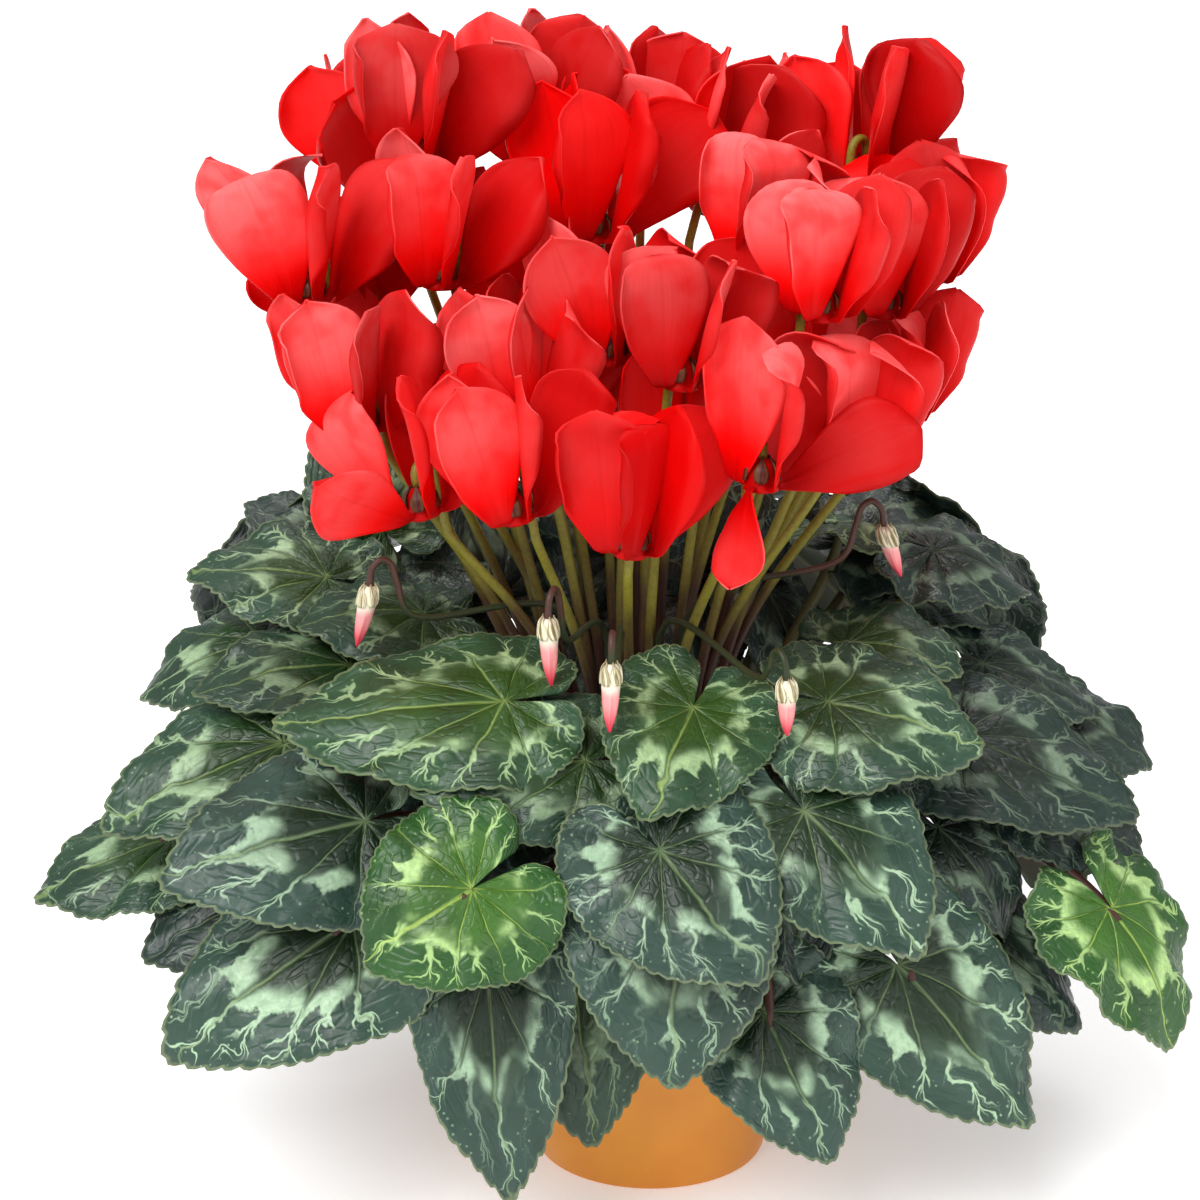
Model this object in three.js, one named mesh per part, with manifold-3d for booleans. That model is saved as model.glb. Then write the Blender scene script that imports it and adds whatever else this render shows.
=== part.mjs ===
// A potted cyclamen in millimetres. +Z is up, the front is towards -Y, and the origin is the middle
// of the pot's base. Leaves and petals are faceted sheets; the render script lays finer ones over them.
import * as THREE from "three";
import Module from "manifold-3d";

const wasm = await Module();
wasm.setup();

// Pot
const POT_BASE_RADIUS = 40;
const POT_RIM_RADIUS = 61;
const POT_HEIGHT = 108;
const POT_WALL = 1.6;
const RIM_WIDTH = 3;
const RIM_DEPTH = 12;
const FOOT_HEIGHT = 3;
const FOOT_WIDTH = 5;
const BOSS_RADIUS = 14;
const BOSS_SIDES = 15;
const POT_SIDES = 24;
const DRAIN_RADIUS = 3.6;
const DRAIN_RING = 24;
const DRAIN_COUNT = 6;
const DRAIN_SIDES = 8;

// Soil and tuber
const SOIL_TOP = 99;
const SOIL_BEND = 12;
const GAP = 0.3;
const SLIVER = 0.15;
const TUBER = { x: -4, y: 0, z: 96, radius: 25, height: 13 };
const TUBER_SIDES = 12;
const TUBER_RINGS = [-90, -50, -15, 20, 52, 90];
const ROOT_RISE = 6;
const FOOT_RING = 36;
const FOOT_RADIUS = 3.1;
const FOOT_SIDES = 4;
const FOOT_DEPTH = 6;
const FOOT_TOP = 104;
const FOOT_GRIP = 4;

// Leaves: blades face away from one of these two places, and are lifted along the lines out of it
const FRONT_HEART = new THREE.Vector3(-12, 90, 30);
const BACK_HEART = new THREE.Vector3(-12, -70, 40);
const MOUND_MIDDLE = -12;
const BLADE_THICKNESS = 0.9;
const LAYER_GAP = 2.6;
const BEND_SLOPE = 0.3;
const BEND_ROUNDS = 16;
const LIFT_ENOUGH = 0.4;
const PETIOLE_RADIUS = 2.2;
const PETIOLE_SIDES = 3;
const PETIOLE_STEPS = 4;
const PETIOLE_SEAT = 0.1;
const PETIOLE_END = 0.35;
const PETIOLE_ROOM = 0.8;
const PETIOLE_OVER_RIM = 128;
const LEAVES_PER_SPRAY = 2;
const PETIOLE_SWINGS = [0, 0.15, -0.15, 0.3, -0.3];
const PETIOLE_RISES = [1, 0.8, 1.2, 0.6];
const PETIOLE_BACKS = [0.33, 0.2, 0.45];
// A blade's outline about its stalk: degrees from the tip, and the reach in percent of the width
const HEART = [
  [0, 74], [15, 65], [30, 59], [50, 54], [70, 51], [90, 50], [110, 48], [130, 45], [150, 41],
  [162, 36], [172, 26], [180, 8],
];
const TIP_REACH = HEART[0][1] / 100;
const OUTER_ANGLES = [0, 28, 58, 90, 120, 144, 163];
const INNER_ANGLES = [0, 58, 120, 163];
const INNER_REACH = 0.55;
const NOTCH_REACH = 0.95;

// Blooms
const PETAL_THICKNESS = 0.8;
const PETAL_LENGTH = 54;
const PETAL_WIDTH = 31;
const PETAL_MARGIN = 0.9;
const PETAL_TWIST = 45;
const PETAL_ANGLES = [52, 116, 180, 244, 308];
// Rows across a petal: the share of its length, the share of its width and the number of points
const PETAL_ROWS = [[0, 0.1, 2], [0.47, 0.8, 3], [0.8, 0.86, 2], [1, 0, 1]];
const PETAL_FACES = [[0, 3, 2], [0, 1, 3], [1, 4, 3], [2, 3, 5], [3, 6, 5], [3, 4, 6], [5, 6, 7]];
const PETAL_ROOT = { radius: 3.2, height: 0.4 };
const PETAL_BEND = { radius: 8.4, height: 1, share: 0.08 };
const TUBE_RADIUS = 5.4;
const TUBE_TOP_RADIUS = 3;
const TUBE_HEIGHT = 9;
const TUBE_SIDES = 5;
const STEM_RADIUS = 1.7;
const STEM_SIDES = 4;
const REAR_BLOOMS = 40;
const HOOK_REACH = 8.2;
const HOOK_HEIGHT = 12;
const OPENING = { x: -8, y: -2, z: 186, wide: 42, deep: 30, share: 0.42 };
const BUD_RINGS = [[0, 2.4], [0.3, 3.4], [0.62, 2.8], [1, 0.7]];
const BUD_SIDES = 6;
const BUD_STEM = 0.85;
const BUD_ROOT = 10;
const BUD_GATE = { rise: 12, out: 22 };
const BUD_BEHIND = 14;
// A bud's hook, from its stem to the calyx: how far back from the bud's top, and how far above it
const BUD_HOOK = [[9, 1], [7.5, 6], [4.5, 8], [1.2, 5.5], [0, -3]];

// Leaves seen from the front and sides, the lowest layer first: stalk end, tip and blade width
const LEAVES = [
  ["rear_left", [-52, 46, 184], [-70, 60, 222], 50],
  ["rear_right", [24, 51, 188], [36, 65, 226], 50],
  ["apron_mid", [-26, -72, 105], [-20, -81, 36], 58],
  ["dark_low_left", [-124, -40, 112], [-168, -50, 88], 54],
  ["dark_right_low", [102, -40, 102], [142, -48, 62], 52],
  ["fill_right", [94, -36, 132], [118, -44, 94], 50],
  ["dark_left", [-130, -4, 186], [-172, -8, 166], 54],
  ["dark_back_left", [-110, 58, 196], [-143, 70, 210], 50],
  ["under_dark", [-52, -67, 150], [-71, -78, 122], 48],
  ["dark_right", [124, -6, 131], [168, -12, 110], 54],
  ["edge_right", [136, 16, 156], [172, 18, 130], 50],
  ["back_mid", [-12, 50, 189], [-6, 67, 224], 54],
  ["back_right", [72, 54, 202], [110, 80, 200], 52],
  ["skirt_right", [72, -60, 94], [120, -74, 42], 62],
  ["apron_right", [35, -84, 88], [57, -98, 40], 56],
  ["apron_left", [-53, -89, 107], [-46, -105, 29], 57],
  ["skirt_left", [-94, -70, 113], [-160, -84, 70], 72],
  ["wing_left", [-158, -20, 121], [-206, -32, 101], 56],
  ["back_left", [-86, 46, 196], [-114, 56, 227], 54],
  ["light_back", [60, 44, 204], [78, 14, 206], 44],
  ["ridge_right", [112, 12, 172], [152, 8, 152], 50],
  ["silver_right", [100, -22, 158], [161, -34, 132], 60],
  ["apron_centre", [5, -94, 130], [6, -110, 72], 72],
  ["face_right", [47, -80, 156], [85, -100, 113], 66],
  ["shoulder_left", [-120, -42, 164], [-181, -54, 138], 58],
  ["olive_left", [-100, -18, 182], [-152, -32, 176], 50],
  ["top_left", [-108, 12, 201], [-157, 12, 202], 52],
  ["crest_right", [88, 30, 196], [126, 32, 184], 50],
  ["mid_right", [64, -14, 188], [102, -28, 182], 50],
  ["young_right", [136, -26, 97], [164, -40, 54], 56],
  ["face_left", [-92, -74, 150], [-158, -94, 137], 68],
  ["under_long", [-22, -74, 170], [-79, -85, 164], 54],
  ["bud_leaf", [-76, -6, 196], [-118, -20, 194], 50],
  ["broad_right", [53, -48, 177], [106, -62, 168], 62],
  ["long_left", [-45, -54, 176], [-120, -64, 174], 58],
  ["young_left", [-55, -96, 135], [-89, -109, 114], 60],
  ["face_centre", [1, -98, 150], [34, -116, 112], 68],
  ["heart_centre", [12, -62, 184], [-4, -98, 158], 58],
];

// Leaves of the back, by rule: rings of leaves between two directions in degrees about the mound
const BACK_RINGS = [
  { count: 6, from: 14, to: 172, stalk: [92, 104], tip: [112, 50], width: 60 },
  { count: 5, from: 34, to: 146, stalk: [98, 148], tip: [132, 106], width: 62 },
  { count: 3, from: 60, to: 130, stalk: [78, 184], tip: [122, 166], width: 56 },
];

// Blooms: place of the nose, lean and its direction in degrees, opening in degrees, size in percent
const BLOOMS = [
  [-40, 62, 334, 6, 0, 9, 98],
  [-78, 30, 338, 4, 0, 8, 98],
  [-90, 64, 324, 12, 180, 10, 94],
  [-112, 6, 300, 5, 180, 11, 104],
  [-70, 4, 306, 4, 0, 9, 98],
  [-20, 26, 316, 4, 0, 11, 104],
  [-2, 72, 330, 6, 0, 7, 92],
  [18, 46, 321, 14, 0, 9, 106],
  [32, 6, 310, 16, 0, 9, 96],
  [50, 78, 320, 8, 0, 10, 90],
  [70, 44, 330, 4, 0, 10, 100],
  [92, 36, 300, 4, 0, 8, 96],
  [74, -2, 298, 5, 0, 9, 96],
  [52, -30, 304, 4, 0, 9, 92],
  [-46, 40, 290, 4, 0, 9, 92],
  [-14, -2, 282, 4, 180, 10, 98],
  [8, -32, 282, 4, 0, 9, 96],
  [-42, -14, 264, 6, 180, 9, 92],
  [-94, -16, 262, 9, 180, 10, 96],
  [-74, -34, 240, 12, 180, 10, 96],
  [-68, 18, 246, 4, 180, 9, 92],
  [-44, -46, 242, 10, 180, 10, 98],
  [4, 8, 246, 4, 0, 9, 92],
  [-8, -62, 236, 4, 0, 9, 98],
  [33, -56, 256, 2, 0, 9, 106],
  [38, 26, 262, 4, 0, 9, 92],
  [61, -26, 255, 6, 0, 9, 94],
  [72, 52, 246, 6, 0, 9, 94],
  [82, 8, 260, 2, 0, 8, 86],
  [-96, 34, 282, 8, 180, 10, 92],
  [-34, 22, 258, 4, 0, 9, 90],
];

// Buds: place of the bud's top, length, and how far the stem climbs into the hook
const BUDS = [
  [-92, -34, 216, 20, 12],
  [-34, -60, 214, 22, 12],
  [-14, -80, 206, 22, 12],
  [41, -76, 199, 18, 4],
  [76, -8, 228, 17, 12],
];

// Ways to move a petal clear of others: degrees more open, turned and twisted, and the share of its size
const SPLAY_CHANGES = [0, -5, 5, -10, 10, 16, 22, 30];
const TURN_CHANGES = [0, -7, 7, -14, 14, -21, 21];
const TWIST_CHANGES = [0, 12, -12];
const SIZE_CHANGES = [1, 0.88, 0.76];
const SIZE_COST = 400;

// Petals that stand off from their bloom: the bloom, the petal, its opening in degrees and its size
const LOOSE_PETALS = [
  [20, 3, 52, 0.86],
  [25, 2, 160, 0.6],
  [25, 4, 62, 0.86],
];

const RADIANS = Math.PI / 180;
const UP = new THREE.Vector3(0, 0, 1);
const at = (x, y, z) => new THREE.Vector3(x, y, z);
const mix = (a, b, t) => a + (b - a) * t;
const twoDigits = (number) => String(number).padStart(2, "0");

/** A repeatable fraction from 0 to 1 for a whole number. */
function chance(key) {
  const value = Math.sin(key * 12.9898 + 4.1414) * 43758.5453;
  return value - Math.floor(value);
}

/** A closed solid from a one-sided sheet of triangles, with a rim round its free edges. */
function thicken(points, faces, thickness) {
  const normals = points.map(() => at(0, 0, 0));
  const edges = new Map();
  for (const [a, b, c] of faces) {
    const normal = points[b].clone().sub(points[a]).cross(points[c].clone().sub(points[a]));
    for (const corner of [a, b, c]) normals[corner].add(normal);
    for (const [from, to] of [[a, b], [b, c], [c, a]]) edges.set(`${from} ${to}`, [from, to]);
  }
  const count = points.length;
  normals.forEach((normal) => normal.normalize());
  const shifted = (by) => points.map((p, i) => p.clone().addScaledVector(normals[i], by));
  const triangles = [];
  for (const [a, b, c] of faces) {
    triangles.push([a, b, c], [count + a, count + c, count + b]);
  }
  for (const [from, to] of edges.values()) {
    if (edges.has(`${to} ${from}`)) continue;
    triangles.push([to, from, count + from], [to, count + from, count + to]);
  }
  return { points: [...shifted(thickness / 2), ...shifted(-thickness / 2)], triangles };
}

/** A closed round bar along a path, with one radius for each of its points. */
function bar(path, radii, sides) {
  const points = [];
  const triangles = [];
  let side = null;
  path.forEach((place, i) => {
    const before = path[Math.max(i - 1, 0)];
    const after = path[Math.min(i + 1, path.length - 1)];
    const along = after.clone().sub(before).normalize();
    if (side === null) side = Math.abs(along.z) < 0.9 ? at(0, 0, 1) : at(1, 0, 0);
    side = side.clone().addScaledVector(along, -side.dot(along)).normalize();
    const other = along.clone().cross(side);
    for (let k = 0; k < sides; k += 1) {
      const turn = (2 * Math.PI * k) / sides;
      points.push(place.clone().addScaledVector(side, radii[i] * Math.cos(turn))
        .addScaledVector(other, radii[i] * Math.sin(turn)));
    }
  });
  for (let i = 0; i + 1 < path.length; i += 1) {
    for (let k = 0; k < sides; k += 1) {
      const next = (k + 1) % sides;
      const [a, b] = [i * sides + k, i * sides + next];
      triangles.push([a, b, b + sides], [a, b + sides, a + sides]);
    }
  }
  const last = (path.length - 1) * sides;
  for (let k = 1; k + 1 < sides; k += 1) {
    triangles.push([0, k + 1, k], [last, last + k, last + k + 1]);
  }
  return { points, triangles };
}

/** A closed solid turned about +Z from its profile, whose first and last points lie on the axis. */
function turned(profile, sides, centre = at(0, 0, 0)) {
  const points = [at(0, 0, profile[0][1])];
  const rings = profile.slice(1, -1);
  for (const [radius, height] of rings) {
    for (let k = 0; k < sides; k += 1) {
      const turn = (2 * Math.PI * k) / sides;
      points.push(at(radius * Math.cos(turn), radius * Math.sin(turn), height));
    }
  }
  points.push(at(0, 0, profile.at(-1)[1]));
  const triangles = [];
  const last = points.length - 1;
  const start = (ring) => 1 + ring * sides;
  for (let k = 0; k < sides; k += 1) {
    const next = (k + 1) % sides;
    triangles.push([0, start(0) + next, start(0) + k]);
    for (let ring = 0; ring + 1 < rings.length; ring += 1) {
      const [a, b] = [start(ring) + k, start(ring) + next];
      const [c, d] = [start(ring + 1) + next, start(ring + 1) + k];
      triangles.push([a, b, c], [a, c, d]);
    }
    triangles.push([last, start(rings.length - 1) + k, start(rings.length - 1) + next]);
  }
  return { points: points.map((p) => p.add(centre)), triangles };
}

/** The manifold solid of points and triangles. */
function solid({ points, triangles }) {
  return new wasm.Manifold(new wasm.Mesh({
    numProp: 3,
    vertProperties: new Float32Array(points.flatMap((p) => [p.x, p.y, p.z])),
    triVerts: new Uint32Array(triangles.flat()),
  }));
}

/** One solid from several that run into each other, without the specks that the fusing leaves. */
function fuse(parts) {
  const whole = parts.map(solid).reduce((sum, next) => sum.add(next)).simplify(SLIVER);
  return wasm.Manifold.compose(whole.decompose().filter((piece) => piece.volume() > SLIVER));
}

/** A named mesh of a manifold solid. */
function node(name, body) {
  const { vertProperties, triVerts } = body.getMesh();
  const geometry = new THREE.BufferGeometry();
  geometry.setAttribute("position", new THREE.BufferAttribute(new Float32Array(vertProperties), 3));
  geometry.setIndex(new THREE.BufferAttribute(new Uint32Array(triVerts), 1));
  geometry.computeVertexNormals();
  const mesh = new THREE.Mesh(geometry, new THREE.MeshStandardMaterial());
  mesh.name = name;
  return mesh;
}

/** Points along a smooth curve through the given ones. */
function curveThrough(places, steps) {
  return new THREE.CatmullRomCurve3(places, false, "centripetal").getPoints(steps);
}

/** How far a blade reaches at an angle from its tip, as a share of its width. */
function heartReach(angle) {
  const size = Math.abs(angle);
  const next = HEART.findIndex(([limit]) => limit >= size);
  if (next <= 0) return HEART[0][1] / 100;
  const [[from, low], [to, high]] = [HEART[next - 1], HEART[next]];
  return mix(low, high, (size - from) / (to - from)) / 100;
}

/** The axes of a leaf's blade: across it, from stalk to tip, and out of the mound. */
function bladeAxes(leaf) {
  const along = leaf.tip.clone().sub(leaf.stalk);
  const length = along.length();
  along.normalize();
  const outward = leaf.stalk.clone().add(leaf.tip).multiplyScalar(0.5).sub(leaf.heart).normalize();
  outward.addScaledVector(along, -outward.dot(along)).normalize();
  outward.applyAxisAngle(along, leaf.roll * RADIANS);
  return { across: along.clone().cross(outward), along, outward, length };
}

/** A place on a leaf's blade, at an angle from its tip and a share of the way out to its edge. */
function bladePoint(leaf, angle, share) {
  const reach = heartReach(angle) * leaf.width * share;
  const side = reach * Math.sin(angle * RADIANS);
  const stretch = Math.abs(angle) < 90 ? leaf.length / (TIP_REACH * leaf.width) : 1;
  const forward = reach * Math.cos(angle * RADIANS) * stretch;
  const down = forward / leaf.length;
  const arch = down < 0 ? (4 * down) / (1 - 4 * down) : 4 * down * (1 - down);
  const fold = (2 * Math.abs(side)) / leaf.width;
  const wave = Math.sin(leaf.waves * angle * RADIANS + leaf.phase) * share * share;
  const height = leaf.arch * arch - leaf.sag * fold * fold + leaf.ripple * wave;
  return leaf.stalk.clone().addScaledVector(leaf.axes.across, side)
    .addScaledVector(leaf.axes.along, forward).addScaledVector(leaf.axes.outward, height);
}

/** The faceted sheet of a leaf's blade: the stalk's end, a ring inside the blade and its edge. */
function bladeSheet(leaf) {
  const mirrored = (angles) => [...angles.slice(1).map((a) => -a).reverse(), ...angles];
  const inner = mirrored(INNER_ANGLES);
  const outer = mirrored(OUTER_ANGLES);
  const points = [leaf.stalk.clone()];
  for (const angle of inner) points.push(bladePoint(leaf, angle, INNER_REACH));
  outer.forEach((angle, i) => points.push(bladePoint(leaf, angle, i % 2 ? 1 : NOTCH_REACH)));
  const faces = [];
  const edge = 1 + inner.length;
  for (let i = 0; i + 1 < inner.length; i += 1) {
    faces.push([0, 2 + i, 1 + i]);
    const first = edge + 2 * i;
    faces.push([1 + i, first + 1, first], [1 + i, 2 + i, first + 1], [2 + i, first + 2, first + 1]);
  }
  return { points, faces };
}

/** Every leaf of the plant, with the measures that its blade needs. */
function listLeaves() {
  const leaves = LEAVES.map(([name, stalk, tip, width]) => (
    { name, stalk: at(...stalk), tip: at(...tip), width, roll: 0, heart: FRONT_HEART }
  ));
  BACK_RINGS.forEach((ring, level) => {
    for (let i = 0; i < ring.count; i += 1) {
      const turn = mix(ring.from, ring.to, i / (ring.count - 1)) * RADIANS;
      const swing = turn + 0.2 * (chance(31 * level + i) - 0.5);
      const place = (radius, height, angle) => (
        at(MOUND_MIDDLE + radius * Math.cos(angle), radius * Math.sin(angle), height)
      );
      leaves.push({
        name: `back_${level + 1}_${i + 1}`,
        stalk: place(ring.stalk[0], ring.stalk[1], turn),
        tip: place(ring.tip[0], ring.tip[1], swing),
        width: ring.width,
        roll: 10 * (chance(17 * level + i) - 0.5),
        heart: BACK_HEART,
      });
    }
  });
  leaves.forEach((leaf, i) => {
    leaf.axes = bladeAxes(leaf);
    leaf.length = leaf.axes.length;
    leaf.arch = 3 + 3 * chance(i);
    leaf.sag = 3 + 4 * chance(i + 100);
    leaf.ripple = 1 + 1.2 * chance(i + 200);
    leaf.waves = 4 + Math.floor(3 * chance(i + 300));
    leaf.phase = 6 * chance(i + 400);
  });
  return leaves;
}

/** Where a ray out of a leaf's heart place meets a triangle, as a distance, or null. */
function reachOf(heart, direction, [a, b, c]) {
  const hit = new THREE.Ray(heart, direction).intersectTriangle(a, b, c, false, at(0, 0, 0));
  return hit === null ? null : hit.distanceTo(heart);
}

/** The direction and distance of a place from a heart. */
function sightOf(heart, place) {
  const direction = place.clone().sub(heart);
  const distance = direction.length();
  return { direction: direction.divideScalar(distance), distance };
}

/** The corners, edge middles and face middles of a sheet. */
function samplesOf({ points, faces }) {
  const samples = points.map((p) => p.clone());
  for (const [a, b, c] of faces) {
    const [p, q, r] = [points[a], points[b], points[c]];
    samples.push(p.clone().lerp(q, 0.5), q.clone().lerp(r, 0.5), r.clone().lerp(p, 0.5));
    samples.push(p.clone().add(q).add(r).multiplyScalar(1 / 3));
  }
  return samples;
}

/** A sheet's triangles, each with the cone of sight from a heart that holds it. */
function conesOf(heart, points, faces) {
  return faces.map((face) => {
    const corners = face.map((i) => points[i]);
    const sights = corners.map((p) => sightOf(heart, p).direction);
    const axis = sights.reduce((sum, p) => sum.add(p), at(0, 0, 0)).normalize();
    return { corners, axis, spread: Math.min(...sights.map((p) => p.dot(axis))) - 0.0005 };
  });
}

/** Lifts that a sheet needs, at places, to pass over solids that are laid already. */
function needsOver(heart, sheet, laid) {
  const needs = [];
  const own = conesOf(heart, sheet.points, sheet.faces);
  const ownBox = new THREE.Box3().setFromPoints(own.map(({ axis }) => axis)).expandByScalar(0.1);
  const near = laid.filter(({ axis }) => ownBox.containsPoint(axis));
  for (const place of samplesOf(sheet)) {
    const { direction, distance } = sightOf(heart, place);
    for (const cone of near) {
      if (cone.axis.dot(direction) < cone.spread) continue;
      const reach = reachOf(heart, direction, cone.corners);
      if (reach === null || reach + LAYER_GAP <= distance) continue;
      needs.push([place, reach + LAYER_GAP - distance]);
    }
  }
  for (const corner of near.flatMap((cone) => cone.corners)) {
    const { direction, distance } = sightOf(heart, corner);
    for (const face of own) {
      if (face.axis.dot(direction) < face.spread) continue;
      const reach = reachOf(heart, direction, face.corners);
      if (reach === null || distance + LAYER_GAP <= reach) continue;
      needs.push([heart.clone().addScaledVector(direction, reach), distance + LAYER_GAP - reach]);
    }
  }
  return needs;
}

/** Bends a blade outward until it passes over everything laid below it. */
function bendClear(heart, sheet, laid) {
  for (let round = 0; round < BEND_ROUNDS; round += 1) {
    const needs = needsOver(heart, sheet, laid).map(([place, need]) => (
      { place, need, nearest: Math.min(...sheet.points.map((point) => place.distanceTo(point))) }
    ));
    if (needs.every(({ need }) => need < LIFT_ENOUGH)) return;
    sheet.points = sheet.points.map((point) => {
      const lifts = needs.map(({ place, need, nearest }) => (
        need - BEND_SLOPE * (place.distanceTo(point) - nearest)
      ));
      return point.clone().addScaledVector(sightOf(heart, point).direction, Math.max(0, ...lifts));
    });
  }
}

/** Ways for a leaf's stalk to run from its foot up and over to the underside of the blade. */
function stalkPaths(leaf, foot) {
  const tipward = INNER_ANGLES.length;
  const [root, left, middle, right] = [0, tipward - 1, tipward, tipward + 1].map((i) => (
    leaf.sheet.points[i]
  ));
  const end = root.clone().lerp(middle, PETIOLE_SEAT / INNER_REACH);
  const arrival = right.clone().sub(root).cross(left.clone().sub(root)).normalize();
  const sideways = left.clone().sub(right).normalize();
  const span = end.distanceTo(foot);
  const climb = Math.max(0.4 * span, 44 - 0.2 * (end.z - foot.z));
  const paths = [];
  for (const swing of PETIOLE_SWINGS) {
    for (const rise of PETIOLE_RISES) {
      for (const back of PETIOLE_BACKS) {
        const low = foot.clone().addScaledVector(UP, rise * climb);
        const high = end.clone().addScaledVector(arrival, -back * span);
        high.addScaledVector(sideways, swing * span);
        high.z = Math.max(high.z, PETIOLE_OVER_RIM);
        paths.push(new THREE.CubicBezierCurve3(foot, low, high, end).getPoints(PETIOLE_STEPS));
      }
    }
  }
  return paths;
}

/** Picks the first way of a leaf's stalk that crosses nothing, or else the one that crosses least. */
function placeStalk(leaf, foot, others) {
  let best = null;
  for (const path of stalkPaths(leaf, foot)) {
    const free = path.slice(1, -1);
    free.push(path.at(-2).clone().lerp(path.at(-1), 0.7));
    const wide = boxed(bar(free, free.map(() => PETIOLE_RADIUS + PETIOLE_ROOM), PETIOLE_SIDES));
    const count = others.reduce((sum, other) => sum + crossings(wide, other), 0);
    if (best === null || count < best.count) best = { count, path };
    if (count === 0) break;
  }
  return best.path;
}

/** The feet of the sprays, evenly spaced about the tuber, and the leaves that share each of them. */
function listSprays(leaves) {
  const direction = (leaf) => Math.atan2(leaf.stalk.y - TUBER.y, leaf.stalk.x - TUBER.x);
  const sorted = [...leaves].sort((a, b) => direction(a) - direction(b));
  const sprays = [];
  for (let i = 0; i < sorted.length; i += LEAVES_PER_SPRAY) {
    sprays.push({ leaves: sorted.slice(i, i + LEAVES_PER_SPRAY) });
  }
  const first = direction(sorted[0]);
  sprays.forEach((spray, i) => {
    const even = first + (2 * Math.PI * (i + 0.3)) / sprays.length;
    spray.foot = at(TUBER.x + FOOT_RING * Math.cos(even), TUBER.y + FOOT_RING * Math.sin(even), SOIL_TOP);
  });
  return sprays;
}

/** The frame of a bloom: its nose, its axis up through the petals and the side of its stem. */
function bloomFrame([x, y, z, lean, leanTo, open, size], index) {
  const nose = at(x, y, z);
  const axis = new THREE.Vector3().setFromSphericalCoords(1, lean * RADIANS, leanTo * RADIANS);
  axis.set(axis.z, axis.x, axis.y);
  const inward = Math.atan2(OPENING.y - y, OPENING.x - x);
  const side = at(Math.cos(inward), y > REAR_BLOOMS ? -1 : 1, 0).normalize();
  side.addScaledVector(axis, -side.dot(axis)).normalize();
  return { nose, axis, side, other: axis.clone().cross(side), open, scale: size / 100, index };
}

/** A place in a bloom's frame: a turn about its axis, a distance from it and a height over the nose. */
function bloomPlace(frame, turn, radius, height) {
  return frame.nose.clone()
    .addScaledVector(frame.side, radius * Math.cos(turn * RADIANS))
    .addScaledVector(frame.other, radius * Math.sin(turn * RADIANS))
    .addScaledVector(frame.axis, height);
}

/** The sheet of one petal: rows across it from the mouth to its rounded tip. */
function petalSheet(frame, petal, margin = 0) {
  const length = PETAL_LENGTH * frame.scale * petal.size + margin;
  const width = PETAL_WIDTH * frame.scale * petal.size + 2 * margin;
  const points = [];
  for (const [share, wide, columns] of PETAL_ROWS) {
    const bent = (petal.splay + petal.bow * share) * RADIANS;
    const start = share === 0 ? PETAL_ROOT : PETAL_BEND;
    const run = share === 0 ? 0 : (share - PETAL_BEND.share) * length;
    const radius = start.radius + run * Math.sin(bent);
    const height = start.height + run * Math.cos(bent);
    const middle = bloomPlace(frame, petal.turn, radius, height);
    if (columns === 1) {
      points.push(middle);
      continue;
    }
    const tangent = bloomPlace(frame, petal.turn, Math.sin(bent), Math.cos(bent)).sub(frame.nose);
    const across = bloomPlace(frame, petal.turn + 90, 1, 0).sub(frame.nose)
      .applyAxisAngle(tangent, (PETAL_TWIST + petal.twist * share) * RADIANS);
    const face = across.clone().cross(tangent);
    const half = (width * wide) / 2;
    for (const edge of columns === 2 ? [-1, 1] : [-1, 0, 1]) {
      points.push(middle.clone().addScaledVector(across, edge * half)
        .addScaledVector(face, petal.curl * share * Math.abs(edge)));
    }
  }
  return { points, faces: PETAL_FACES };
}

/** The five petals of a bloom before they are moved clear of their neighbours. */
function listPetals(frame) {
  return PETAL_ANGLES.map((angle, k) => {
    const key = frame.index * PETAL_ANGLES.length + k;
    const loose = LOOSE_PETALS.find(([bloom, petal]) => bloom === frame.index + 1 && petal === k + 1);
    const [, , open, size] = loose ?? [0, 0, frame.open, 1];
    return {
      size,
      turn: angle + 8 * (chance(key) - 0.5),
      splay: open + 8 * (chance(key + 500) - 0.5),
      bow: 14 * chance(key + 1000) - 4,
      twist: 18 * chance(key + 1500),
      curl: 5 * (chance(key + 2000) - 0.35),
    };
  });
}

/** The short corolla tube with its calyx, mouth down. */
function corolla(frame) {
  const ends = [bloomPlace(frame, 0, 0, -1), bloomPlace(frame, 0, 0, TUBE_HEIGHT)];
  return bar(ends, [TUBE_RADIUS, TUBE_TOP_RADIUS], TUBE_SIDES);
}

/** The middle line of a flower stem from the tuber, beside the nose and over into the calyx. */
function stemPath(frame) {
  const away = at(frame.nose.x - OPENING.x, frame.nose.y - OPENING.y, 0);
  const gate = at(away.x * OPENING.share, away.y * OPENING.share, 0);
  const out = Math.hypot(gate.x / OPENING.wide, gate.y / OPENING.deep);
  if (out > 1) gate.multiplyScalar(1 / out);
  const root = at(TUBER.x, TUBER.y, TUBER.z + ROOT_RISE).addScaledVector(gate, 0.36);
  gate.add(at(OPENING.x, OPENING.y, OPENING.z));
  const beside = bloomPlace(frame, 0, HOOK_REACH, -10);
  const rise = curveThrough([root, gate, beside], 4);
  const hook = [[HOOK_REACH, 1], [HOOK_REACH, HOOK_HEIGHT], [HOOK_REACH * 0.5, HOOK_HEIGHT + 4.2],
    [0, HOOK_HEIGHT], [0, TUBE_HEIGHT + GAP]];
  return [...rise, ...hook.map(([radius, height]) => bloomPlace(frame, 0, radius, height))];
}

/** The boxes about a mesh's triangles and about the whole of it. */
function boxed({ points, triangles }) {
  const cells = triangles.map((face) => {
    const corners = face.map((i) => points[i]);
    return { corners, box: new THREE.Box3().setFromPoints(corners) };
  });
  return { cells, box: new THREE.Box3().setFromPoints(points) };
}

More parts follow.
